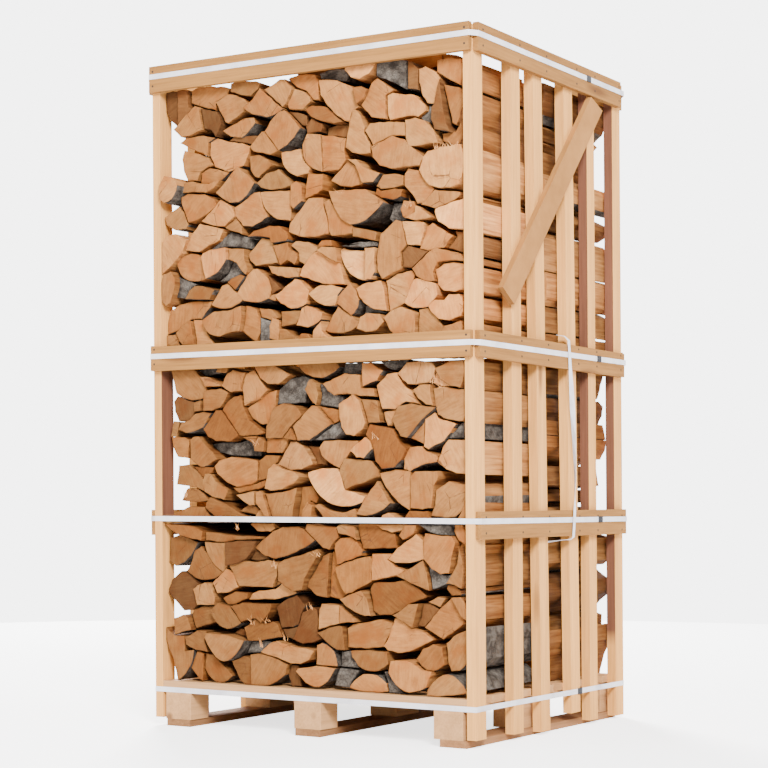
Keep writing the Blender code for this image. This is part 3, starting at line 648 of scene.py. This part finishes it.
k1 -25,23.8 -20,24.3 -18.6,24.8 -15.5,27.6 -18,27.9 -23,27.6
k1 9.8,21.4 16.4,21.2 14.6,24.4 13.8,26.2 10.2,25.8 10,22
k1 8,15.6 13.2,15.2 13.6,16.8 17,20.6 10,20.9 9.3,19.8
b1 -9.4,17.6 -8.2,14.4 -4.6,14.6 -5.3,18.8 -5.6,20.8 -8.4,20.9
o1 -45.6,18.5 -42.5,15 -41.2,14.6 -41,18.5 -40.6,23.2 -43.3,23.8
k1 27.2,14.4 32.5,14.4 29.6,17.2 28,20.4 25.6,20.6 26.8,17.6
k1 41.3,50 42.2,45.4 47.6,47.4 48.6,49.8 46,49.6 42.8,51.2 41,53
o1 47.6,45.8 49.3,43.8 54.8,44 54.8,45.6 50.7,46.6 48,46.9
o1 49,50.6 51.6,53.5 54.6,58.3 51.6,59.2 50.5,56
b1 36.8,34.6 39.2,34.4 44.2,39.6 41,41.2 38.8,41 38,37
b1 -23.2,53 -19.8,52.6 -16,53.4 -18,54.4 -21,56.3
b1 -11.2,31.9 -9.9,29.4 -7.5,28.9 -5,33 -7.4,32.3
c0 -23.2,147.5 -22.6,145.6 -20.5,143.9 -13,144.3 -11.4,143.6 -13.8,149.6 -14,151.5 -18,152.3
t0 -13.4,149.6 -10.7,143.4 -8.1,144.8 -5.5,143.2 -4.3,145.3 -4.7,146.8 -7.2,148 -7.9,150.2
c0 -4,144.2 -2.2,143.2 0,145 3,147.8 -0.8,149.9 -5.2,150.4 -7,149.2 -4.3,147
t0 -14.8,143.4 -13.5,141 -11.2,140.1 -7.2,139.3 -3.6,139.4 -3,142 -10,142.8
c0 -3.5,139.7 0.8,138.2 5,136.7 9,136.4 12.8,136.2 12,139.5 11.2,142.5 7.7,144.1 3.3,146.9
 0.8,145.8 -2.8,141.8
t0 3.7,146.9 7.9,144.3 11,142.8 10.8,145.5 10.4,147.3 5.5,147.8
o0 3.6,148.4 4.5,147.9 8.5,147.9 8.3,149.7 5,149.8
w0 10.9,146.5 10.9,145,2.0 20.3,136.9 20.4,146 15,146.3 12,147.2
c0 20.7,136.9 23,137 24.2,139 24.2,146.4 20.8,146.4
k0 12.5,147.6 20,146.8 24.2,146.9 24.2,148 19,148.4
t0 16.5,150.2 24.4,148.4 24.9,151 20,152.2 16.5,153
c0 -12.4,134 -10.2,131.6 -6.4,129.8,0.4 -0.9,131 0.2,135 -3.3,138.4 -5,138.8
c0 0.2,133.9,1.4 9.8,130 10.6,132.8 12.6,135 8.5,136.2 4.9,136.3 3,135.7
c0 10.3,130.5 15.3,126.8,0.8 18.1,131.2 17.2,134 14.9,136.6 11,132.8
c0 5.6,122.6 8,121.8 11.5,121.6 15,122.3 17.8,124 15,126.8 10.2,129.8 8.4,127.4
c0 17.2,134.7 18.3,132 19.6,130.5,0.8 27.9,127.5 26.8,134.3 25.8,136.5 20,136
c0 28.3,127.4 33.3,129.6 35,133 36.8,137.5 36,139 31,138.4 27,136.5
w0 33.7,129.6,1.0 41.8,128 45,131.2 44.6,134.6 38.2,136.5 36.9,136
t0 36.6,139.5 38.2,137.1 41.2,135.6 44.3,135.4 43.7,138 45.2,140.8 50,141.1 54.8,140.6 54.8,142.8
 45,144.9 42.8,144.3
c0 44,138.8 44.7,134.4 46.6,132.5 50.3,132 54.8,132.9 54.8,139.9 50,140.6 46.8,140.4
c0 42.3,128.2,1.4 49.5,123.6 54.8,124.8 54.8,131.1 49.4,131.2 47.8,129.6 44.5,129.8
t0 38.6,127.3 38.3,120.3 46.8,120.3 46.5,122 44.8,124.6 42,127.6
c0 27,125.5 29.3,121.5 30.5,120.3 37.8,120.3 37.9,126.6 36.2,127.3 33.2,128.4 29.5,127.2
c0 17.6,122.6 21,121.4 24.6,121.8 27.2,124.2 25.8,126.6 21,127 19,126
t0 46.9,120.3 54.8,120.3 54.8,123.3 47.8,122
c0 -4,124.5 0.3,123.7,0.3 5,126 5.6,127.8 1.6,129.8 0,130.3 -2,129.5 -2.9,127
t0 -10.6,124.6 -5.4,125.2 -3.6,126.9 -2.4,129.1 -10.7,129.2
c0 -14.8,121 -11.5,120.3 -11,123.3 -11.2,126.5 -13.8,127.5 -14.8,125
k1 -18.3,120.3 -14.9,120.3 -14.6,126.5 -18.3,127.6
t1 -18.3,127.8 -14.8,126.8 -12,127.3 -14.5,130 -19,130.6
t0 -11,120.3 -4.5,120.3 -5.5,121.6 -8,123.4 -10.6,123.9
t0 -4,120.3 1.5,120.3 0,121.8 -2.5,122
c0 2,120.3 8,120.3 5.4,122.4 5.2,125.4 3.6,124 2.3,122.6
t0 24.9,144 24.9,139.8 26.6,136.9 30.3,138.6 33.3,139.6 32.9,144.5 35,146.5 33.2,153.5 31.5,154.1
 29,152.2 26.2,150.2
c0 35.2,146.6 39.4,146.1 41,150.6 40.6,152.8 33.5,153.5
t0 39,145.1 41.8,144.4 47.2,145 50.2,148.2 46.8,150.3 43.4,152.4 41.5,151.5
t0 39.8,158 44.8,156.5 49.8,158 54.8,159.2 54.8,160.6 48.8,161.2 44.6,162
c0 34.2,164 36.9,161.2 38.5,158.4 41,158.3 44.3,162.3 41.3,165.2 39.3,168 35.5,168.9 34.3,167.5
t0 32.7,157.2 33.5,154.9 37,154.8 38,156.5 37.2,159.2 33.8,159.7
t0 34.5,154.5 38.5,153.4 44.3,153.9 40,157 38.4,157.8 38.2,155.8
k3 26.5,155.3 29,153 31.5,154.4 33.2,155.2 32.4,157.4 33.5,159.5 28,159.8
o0 24,162.2 26.3,161 30.3,160.2 33,161 33.8,163 31,163.4 26,163 24.8,164
t0 24.5,164.6 26,163.7 30.5,163.7 33.7,164.3 33.8,167 30.8,167.8 26.8,167.8 25.5,166
t0 -48.8,168.4 -42.8,168.3 -42.4,171.2 -44,171.8 -47,171.6
t0 -41.4,171.2 -36.5,170.4 -33.5,171.5 -30.4,173.6 -35,175 -38,175.6 -41,174.3
t0 -42,168.2 -38,167.6 -34.5,169 -32.3,171 -33.5,171.2 -36.5,170.2 -41.3,170.8
t0 -48.8,184.3 -45,182.3 -40,180.4 -38.1,179.3 -37.7,183.5 -34.9,184.7 -39.5,185.8 -46.5,185.7
t0 -50.5,188.6 -47.6,186 -44.5,186.1 -39.3,187.5 -40.6,194.6 -42,195.2 -46.8,191.8
b0 -40.2,194.4 -38.8,187.9 -36.2,187.2 -34.5,185 -32.3,188.6 -33,191.4 -34,192.8
b0 -54.9,201 -54.6,195.3 -53,192 -50.2,189.8 -49.8,195 -50,201
b1 -49.6,190.3 -46.8,192.2 -43.5,194.6 -45.3,195.3 -45.4,200.8 -49.5,201
t0 -44.8,196.7 -39.9,194.9 -35.3,193.5 -35.2,196.2 -31,197.7 -29.7,199.8 -35,200.8 -39.5,201.2
 -44.7,200.6
c0 -34.8,195.9 -33.4,193 -31.2,189.3 -30.2,188.8 -24,192 -22.5,194 -23.8,195.7 -27.2,197.3 -30.3,197.9
c0 -23.8,192.9 -20.3,190.5 -15,189.1 -12.3,189.5 -8.9,191 -16,197 -17.4,198.2 -20.3,195
t0 -28.4,198.3 -24.5,196.9 -20.8,196.3 -18.2,198 -17,199.8 -20.5,200.7 -28.3,200.8
t0 -32.5,186.7 -29.5,184.7 -25.3,184,0.3 -20.1,188 -20.6,189.7 -24.2,189.8 -28.8,188.2
c0 -37.6,179.5 -35.8,175.8 -30.5,173.8 -24.8,175.2 -22.8,178.8 -22.2,181 -25.3,182.2 -31,183.3
 -34.6,184.6 -37.4,183.5
t0 -21.8,177.8 -21.6,173.5 -20,171.3 -18.7,170.9 -13.4,174.4 -15,176 -18.5,177.9
t0 -21.8,180.8 -20.5,179.2 -14.2,177.6 -11,178.6 -16.3,185 -17.3,185 -19,183.5
c0 -15.8,184.8 -10.7,178.5,0.8 -2.7,184.6 -5.4,187.6 -8.5,190.6 -10.2,190.5 -13.8,187.6
b0 -7.8,190.3 -2.8,185.7 -1,185.4 -1.2,188.4 -4.5,189.7
c0 -7.4,192.4 -6.8,190.8 -2,190.2 1.2,192.3 0.6,193.8 -1.5,195.6 -4.7,196.7
t0 -15.6,197.6 -8.9,191.6 -7.6,192.6 -5.5,196.5 -8,200 -10.4,199.8
t1 -7.8,200.2 -4.5,197.4 -1.2,196 1.4,193 3.2,192.8 3.3,198 2,200.5 -5,200.9
k3 3,200.8 4,198.9 13,197.5 14,200.8
b5 -7.5,203.6 -7.6,200.6 2,200.9 13.6,201 14.2,204.2 4,204.6
b4 14.4,204.4 14.2,201 24.6,201 25,204.9 19,205.4
o6 25.2,204.6 25,201 34.9,201 36.5,200.4 38.9,198.2 39.3,198.6 43.5,199.8 44,203.2 35,205
o5 44.2,202.6 43.8,199.6 45.2,200 47.8,200.2 48.6,202
c0 3.6,198.6 4.3,194 7,190.3 10,187.3 12.8,185.4 14.7,185 15.2,187.3 17.8,189 16.3,194.8 14.6,195.8
 10,197.8
t0 16.8,194.6 18.2,189.6 20.8,191 22,193.5 20,194.6
t0 -0.9,190.1 1,187.8 4.6,186.1 9.2,184.9 12.6,185 8.5,188.2 6.2,190.2 1.5,191
b2 -1.5,185 -1,183 4,183 4.5,185.5 0.6,187.5
c0 -2.1,179.5,1.4 1.5,172 5,170.7 4.8,176 4.3,182 -0.4,182.7
t0 5.1,170.8 10.8,170.9 13.3,173.6 12.7,177 13.4,180 9,181.2 4.6,181.8
c0 -9.7,177.7,1.8 -4,170 0,170.6 0.8,171.8 -1.9,174.8 -2.7,178.2
t0 -19.3,169.2 -17.6,167.7 -14.2,166.8 -10,166.8 -5.5,167.8 -8.6,170.6 -11,172.8 -15.8,171.8
c0 7.7,167.8 11,166 15,165.3 19.2,165.9 16.9,171.4 13.9,173.2
t0 17.3,171.5 19.6,166 23.5,165.9 26,168.3 20.5,170.5 17.5,173.2 14.6,173.6
t0 13.5,177.2 15.8,175.5 18.5,174.8 22.3,174.8 22.2,177.2 20,181 20.4,182.6 18.8,186.3 16.9,188.3
 16,188 14.9,184.8
t0 20.5,181.6 23.3,176.9 30,179.2 34.6,178.6 34.6,182.7 28.8,183.4 22.3,183.6
c0 23,176.4 23.5,173.4 26,170.6 29.6,169.4 39.6,169.4 41.2,171.8 37.3,174.8 34.4,177.6 30.4,179
c0 35,183.2 35.2,177.8 36.2,175.3 46,175.4 44.6,179.4 41.8,182.2 38.4,183.5
c0 28.1,191.3 28.3,185.5 28.9,184 36.5,184.5 38.5,183.9 41.2,185.5 41.2,186.8 37.3,190.5 30,191.9
t0 19.3,189.2 22.8,185.4 27.7,184.4 27.8,191.4 30.8,192.6 25,196.6 23,195.5 21,191.5
k0 24.9,200.8 24.9,197.3 29.5,195.3 34.8,192.4 35.1,200.8
b0 35.3,192.6 38.7,191.9 39,197.8 37,200 35.4,200.6
c0 39.2,197.9 39.2,194 40.4,189.8 42,187.6 44.8,187.2 45.8,192 46.2,194.3 44.8,196.3 41.3,198.4
b0 43.9,182.5 45,179.5 50,178.2 48.6,182 47.2,190 46.8,193.8 46,191.5 45,186.8 44.1,186
t0 47.3,192.5 48.6,187 50,181 51.2,180.4 54.8,185.6 54.8,191.2
t0 45.3,199.8 45.2,196.3 48,194.5 51,192.8 54.8,191.8 54.8,199.3 48,200
c0 39.9,168 41.2,165.6 43.2,163.3 46.6,162.2 50.5,162.1 54.8,162.7 54.8,174.3 47,174 42.8,173.2
 41.2,171.5
"""


def read_logs(text):
    """Each log's tone, set-back in metres, and corners: x, z, bulge, and whether the edge is bark."""
    found = []
    for line in text.replace("\n ", " ").strip().split("\n"):
        first, *words = line.split()
        corners = []
        for word in words:
            numbers = [float(part) * CM for part in word.split(",")]
            bulge = numbers[2] if len(numbers) == 3 else 0.0
            corners.append((numbers[0], numbers[1], bulge, bulge > 0.0))
        found.append((first[0], float(first[1:]) * CM, corners))
    return found


logs = read_logs(LOGS)
print("logs in a tier:", len(logs))

# %% [markdown]
# ## Making one log
# The corners become a finer outline: a bark edge is a round bulge, and a split edge wavers a little,
# as wood does where it tears. The outline is filled and drawn back through the crate in a few steps,
# each a little off the last, so that no log is a perfect prism. A small inset then rounds the end's rim.

# %% One log's outline
SIDE = 0.5475
TOP_EDGE = 1.992
SIDE_ROUNDING = (0.08, 0.22)
TOP_ROUNDING = (0.03, 0.09)
SIDE_GAP = (0.002, 0.030)
BARKED_DRAW = 0.86
BARKED_BELOW = 0.70
OUTLINE_STEP = 0.016
FEWEST_STEPS = {"round": 5, "straight": 2}
WAVER = (-0.0018, 0.0012)
DECK_GAP = 0.0005


def loosen(corners, chance):
    """A log at the pile's right side or top is rounded there, not cut flat. Low down a few are barked."""
    loose = []
    barked = chance.random() > BARKED_DRAW and corners[0][1] < BARKED_BELOW
    for index, (x, z, bulge, bark) in enumerate(corners):
        after = corners[(index + 1) % len(corners)]
        if x > SIDE and after[0] > SIDE:
            bulge = chance.uniform(*SIDE_ROUNDING) * abs(after[1] - z)
            bark = barked
        if z > TOP_EDGE and after[1] > TOP_EDGE:
            bulge = chance.uniform(*TOP_ROUNDING) * abs(after[0] - x)
            bark = barked
        if x > SIDE:
            x = SIDE - chance.uniform(*SIDE_GAP)
        loose.append((x, z, bulge, bark))
    return loose


def finer_outline(corners, chance):
    """The outline's points, and for each whether the edge after it is bark."""
    points = []
    for index, (x, z, bulge, bark) in enumerate(corners):
        after = corners[(index + 1) % len(corners)]
        start = Vector((x, z))
        run = Vector((after[0], after[1])) - start
        out = Vector((run.y, -run.x)).normalized()
        fewest = FEWEST_STEPS["round" if bulge else "straight"]
        steps = max(fewest, round(run.length / OUTLINE_STEP))
        for step in range(steps):
            part = step / steps
            point = start + run * part + out * bulge * 4.0 * part * (1.0 - part)
            if step:
                point += out * chance.uniform(*WAVER)
            points.append((point, bark))
    return points


def tame(x, z):
    """Keeps a point between the crate's sides and over its deck."""
    return max(-SIDE, min(SIDE, x)), max(DECK_TOP + DECK_GAP, z)


# %% One log's mesh
FLANK_STEPS = (0.0, 0.16, 0.52, 1.0)
DRIFT_ACROSS = 0.004
DRIFT_UP = 0.003
FLANK_WAVER = 0.002
UNDERSIDE = 0.6
RIM = 0.0024
RIM_RISE = 0.0016


def bark_underneath(outline, bark):
    """Marks the edges that face down as bark too."""
    for index, (point, _) in enumerate(outline):
        after = outline[(index + 1) % len(outline)][0]
        if after.x - point.x > UNDERSIDE * (after - point).length:
            bark[index] = True


def make_log(corners, front, back, bark_low, chance):
    """One log from its end's outline, from y=front to y=back. Returns its points and faces."""
    outline = finer_outline(corners, chance)
    bm = bmesh.new()
    ring = []
    for point, _ in outline:
        x, z = tame(point.x, point.y)
        ring.append(bm.verts.new((x, front, z)))
    end = bm.faces.new(ring)
    drift = Vector((chance.uniform(-DRIFT_ACROSS, DRIFT_ACROSS), 0.0, chance.uniform(-DRIFT_UP, DRIFT_UP)))
    bark = [flag for _, flag in outline]
    if bark_low:
        bark_underneath(outline, bark)
    face = end
    for step in FLANK_STEPS[1:]:
        made = bmesh.ops.extrude_face_region(bm, geom=[face], use_keep_orig=(face is end))["geom"]
        moved = [item for item in made if isinstance(item, bmesh.types.BMVert)]
        # The operators list corners and faces in any order, so they are sorted, for the same logs each run
        bm.verts.index_update()
        for vert in sorted(moved, key=lambda item: item.index):
            waver = [chance.uniform(-FLANK_WAVER, FLANK_WAVER) for _ in range(2)]
            shift = drift * step + Vector((waver[0], 0.0, waver[1]))
            x, z = tame(vert.co.x + shift.x, vert.co.z + shift.z)
            vert.co = (x, front + (back - front) * step, z)
        face = [item for item in made if isinstance(item, bmesh.types.BMFace)][0]
    bmesh.ops.recalc_face_normals(bm, faces=bm.faces)
    bmesh.ops.inset_individual(bm, faces=[end], thickness=RIM, depth=RIM_RISE, use_even_offset=False)
    bm.verts.index_update()
    count = len(outline)
    faces = []
    for item in bm.faces:
        ids = [vert.index for vert in item.verts]
        finish = ON_END
        if len(ids) == 4 and max(ids) < len(FLANK_STEPS) * count:
            low, high = sorted({index % count for index in ids})
            edge = low if high - low == 1 else high
            finish = ON_BARK if bark[edge] else ON_SPLIT
        first = ids.index(min(ids))
        faces.append((ids[first:] + ids[:first], finish))
    points = [vert.co.copy() for vert in bm.verts]
    bm.free()
    return points, sorted(faces)


# %% [markdown]
# ## The two tiers
# The front tier is as the photograph shows it. The back tier, which it hides, is the same pile turned
# round, with its own tones and its own unevenness. Logs low down are a little darker, and logs to the
# left are darker too, with painted shade where the lamp's light falls off.

# %% Both tiers
TONES = {"w": (0.66, 0.295, 0.094), "c": (0.50, 0.218, 0.064), "t": (0.35, 0.148, 0.041),
         "o": (0.32, 0.119, 0.027), "b": (0.18, 0.075, 0.023), "k": (0.10, 0.070, 0.048)}
FRONT_STAGGER = 0.026
BACK_STAGGER = 0.03
BARK_BELOW_SHARE = 0.30
LIFTS = (0.62, 1.10)
WARMTH = 0.07
PATCH_SHIFT = 50.0


def log_tone_with_painted_shade(letter, corners, chance):
    """One log's colour: its own tone, a little darker low down, and painted shade towards the left."""
    across = sum(corner[0] for corner in corners) / len(corners)
    height = sum(corner[1] for corner in corners) / len(corners)
    # The last factor is painted shade: logs further to the left are darker, as the light falls off that
    # way.
    lift = chance.uniform(*LIFTS) * min(1.0, 0.68 + 0.23 * height) * (0.92 + 0.25 * across)
    warm = chance.uniform(-WARMTH, WARMTH)
    red, green, blue = TONES[letter]
    return (red * lift, green * lift * (1 + warm), blue * lift * (1 + 2 * warm), 1.0)


def make_tier(name, way, seed):
    """A tier as one joined mesh. way is 1 for the front tier and -1 for the one turned round."""
    chance = random.Random(seed)
    points, faces, finishes, tones, slants = [], [], [], [], []
    for letter, setback, corners in logs:
        front = -HALF_DEPTH + TIP_INSET + chance.uniform(0.0, FRONT_STAGGER) + setback
        back = -TIER_GAP / 2 - chance.uniform(0.0, BACK_STAGGER)
        bark_low = letter == "k" or chance.random() < BARK_BELOW_SHARE
        log_points, log_faces = make_log(loosen(corners, chance), front, back, bark_low, chance)
        colour = log_tone_with_painted_shade(letter, corners, chance)
        angle = chance.uniform(0.0, math.pi)
        slant = (math.cos(angle), chance.uniform(0.0, PATCH_SHIFT), math.sin(angle))
        first = len(points)
        for point in log_points:
            x, y, z = point.x * way, point.y * way, point.z
            points.append((leaned(x, z), y, z))
        for ids, finish in log_faces:
            faces.append([first + index for index in ids])
            finishes.append(ON_BARK if letter == "k" else finish)
            tones.append(colour)
            slants.append(slant)
    mesh = bpy.data.meshes.new(name)
    mesh.from_pydata(points, [], faces)
    for finish in LOG_FINISHES:
        mesh.materials.append(finish)
    mesh.polygons.foreach_set("material_index", finishes)
    tone_layer = mesh.attributes.new("tone", "FLOAT_COLOR", "FACE")
    slant_layer = mesh.attributes.new("slant", "FLOAT_VECTOR", "FACE")
    for index, (colour, slant) in enumerate(zip(tones, slants)):
        tone_layer.data[index].color = colour
        slant_layer.data[index].vector = slant
    mesh.update()
    tier = bpy.data.objects.new(name, mesh)
    bpy.context.scene.collection.objects.link(tier)
    return tier


front_tier = make_tier("firewood_front", 1, 3)
back_tier = make_tier("firewood_back", -1, 8)
for tier, node in ((front_tier, "logs_front_tier"), (back_tier, "logs_back_tier")):
    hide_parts(node)
    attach(tier, "root")
    tier.data.calc_loop_triangles()
    print(tier.name, "triangles:", len(tier.data.loop_triangles))

# %% [markdown]
# ## Splinters
# Where a log was torn from the rest, pale splinters stand up from its edge. Each is a thin four-sided
# spike, and they are gathered in a few tufts, as in the photograph. A tuft is given as its distance
# from the crate's middle and its height, in centimetres, and how many splinters it has.

# %% Splinters
TUFTS = ((46.4, 173.6, 9), (48.6, 174.0, 8), (51.6, 173.8, 6), (44.3, 106.0, 8), (47.2, 104.6, 6),
         (-21.2, 33.6, 7), (-17.6, 26.6, 6), (-14.8, 34.2, 4), (0.2, 38.4, 5), (-8.4, 29.0, 5),
         (-12.6, 51.0, 6), (3.2, 54.6, 5), (-19.2, 88.4, 6), (36.2, 157.6, 4),
         (-26.0, 62.4, 5), (12.4, 162.8, 5), (-46.5, 72.6, 4), (24.0, 89.6, 5))
TUFT_BEHIND = 0.008
TUFT_WIDE = 0.013
TUFT_TALL = 0.005
SPLINTER_TONE = (0.72, 0.36, 0.14)


def set_down(spot, facing):
    """The matrix that puts a small cone at a spot of the leaning crate and points it."""
    x, y, z = spot
    turn = Vector(facing).to_track_quat("Z", "Y").to_matrix().to_4x4()
    return Matrix.Translation((leaned(x, z), y, z)) @ turn


splinter_wood = new_material("splinter_wood", split_group, {"Tone": opaque(SPLINTER_TONE)}, 0.8, 0.4, 0.001)
chance = random.Random(12)
bm = bmesh.new()
for x, z, count in TUFTS:
    for _ in range(count):
        length = chance.uniform(0.012, 0.034)
        swing = math.radians(chance.uniform(-50.0, 50.0))
        facing = Vector((math.sin(swing), chance.uniform(-0.7, -0.1), math.cos(swing))).normalized()
        foot_x = x * CM + chance.uniform(-TUFT_WIDE, TUFT_WIDE)
        foot_z = z * CM + chance.uniform(-TUFT_TALL, TUFT_TALL)
        middle = Vector((foot_x, TUFT_BEHIND - HALF_DEPTH, foot_z)) + facing * length * 0.4
        bmesh.ops.create_cone(bm, cap_ends=True, segments=4, radius1=chance.uniform(0.0006, 0.0015),
                              radius2=0.0, depth=length, matrix=set_down(middle, facing))
splinters = joined_piece("splinters", bm, splinter_wood)
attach(splinters, "root")
print("splinters:", sum(count for _, _, count in TUFTS))

# %% [markdown]
# ## Nails
# Every rail is nailed to each post and slat that it crosses with two nails. They are low eight-sided
# heads, joined into one mesh.

# %% Nails
RIGHT_STICKS = (0.034, 0.261, 0.435, 0.643, 0.774, 0.955)
LEFT_STICKS = (0.034, 0.210, 0.485, 0.669, 0.830, 0.955)
SIDE_RAILS = (2.047, 1.1655, 0.642)
FRONT_RAILS = (2.047, 1.1655)
NAIL_PAIR = (-0.022, 0.024)
NAIL_FROM_EDGE = 0.015
HEAD_GAP = 0.0003
HEAD_SIZE = {"radius1": 0.0040, "radius2": 0.0032, "depth": 0.0012}


def nail_places():
    """Each nail's middle and the way its head faces."""
    places = []
    side_face = HALF_WIDTH + RAIL_THICK + HEAD_GAP
    front_face = HALF_DEPTH + RAIL_THICK + HEAD_GAP
    for z in SIDE_RAILS:
        for side, sticks in ((1, RIGHT_STICKS), (-1, LEFT_STICKS)):
            for along in sticks:
                for up in NAIL_PAIR:
                    places.append(((side * side_face, along - HALF_DEPTH, z + up), (side, 0, 0)))
    for z in FRONT_RAILS:
        for side in (-1, 1):
            for end in (-1, 1):
                for up in NAIL_PAIR:
                    spot = (side * (HALF_WIDTH - NAIL_FROM_EDGE), end * front_face, z + up)
                    places.append((spot, (0, end, 0)))
    return places


bm = bmesh.new()
for spot, facing in nail_places():
    bmesh.ops.create_cone(bm, cap_ends=True, segments=8, matrix=set_down(spot, facing), **HEAD_SIZE)
nails = joined_piece("nails", bm, NAIL)
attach(nails, "root")
print("nails:", len(nail_places()))

# %% [markdown]
# ## Floor and light
# A plain pale floor and a bright even room, with one large soft lamp over the camera's right shoulder,
# a weaker one from the left and two from behind. The floor and the backdrop are brighter to the camera
# than the light they shed, as a lit white studio is, so that the shadows between the logs stay deep.
# The floor is round and ends where it is as bright as the backdrop, so that no horizon shows.

# %% Floor
FLOOR_RADIUS = 5.4
FLOOR_GLOW = 2.2
pale = bpy.data.materials.new("floor")
pale.use_nodes = True
shader = pale.node_tree.nodes["Principled BSDF"]
shader.inputs["Base Color"].default_value = (0.9, 0.9, 0.9, 1.0)
shader.inputs["Roughness"].default_value = 0.9
shader.inputs["Emission Color"].default_value = (1.0, 1.0, 1.0, 1.0)
seen = add(pale.node_tree, "LightPath").outputs["Is Camera Ray"]
glow = math_of(pale.node_tree, "MULTIPLY", seen, FLOOR_GLOW)
pale.node_tree.links.new(glow, shader.inputs["Emission Strength"])
bm = bmesh.new()
bmesh.ops.create_circle(bm, cap_ends=True, segments=96, radius=FLOOR_RADIUS)
floor = joined_piece("floor", bm, pale)

# %% Light
ROOM_LIGHT = 0.85
BACKDROP = 5.5
AIM = Vector((0.0, 0.0, 1.0))
world = bpy.data.worlds.new("room")
world.use_nodes = True
seen = add(world.node_tree, "LightPath").outputs["Is Camera Ray"]
strength = add(world.node_tree, "MapRange", {"Value": seen, "To Min": ROOM_LIGHT, "To Max": BACKDROP})
backdrop = world.node_tree.nodes["Background"]
backdrop.inputs["Color"].default_value = (1.0, 1.0, 1.0, 1.0)
world.node_tree.links.new(strength.outputs["Result"], backdrop.inputs["Strength"])
bpy.context.scene.world = world


def add_lamp(name, place, size, power):
    data = bpy.data.lights.new(name, "AREA")
    data.shape = "DISK"
    data.size = size
    data.energy = power
    lamp = bpy.data.objects.new(name, data)
    lamp.location = place
    lamp.rotation_euler = (AIM - Vector(place)).to_track_quat("-Z", "Y").to_euler()
    bpy.context.scene.collection.objects.link(lamp)


add_lamp("key", (4.2, -5.0, 4.2), 2.2, 1550.0)
add_lamp("fill", (-4.0, -6.0, 2.4), 2.6, 240.0)
add_lamp("back left", (-4.5, 5.0, 5.0), 2.6, 2400.0)
add_lamp("back right", (5.0, 5.5, 3.0), 2.6, 420.0)
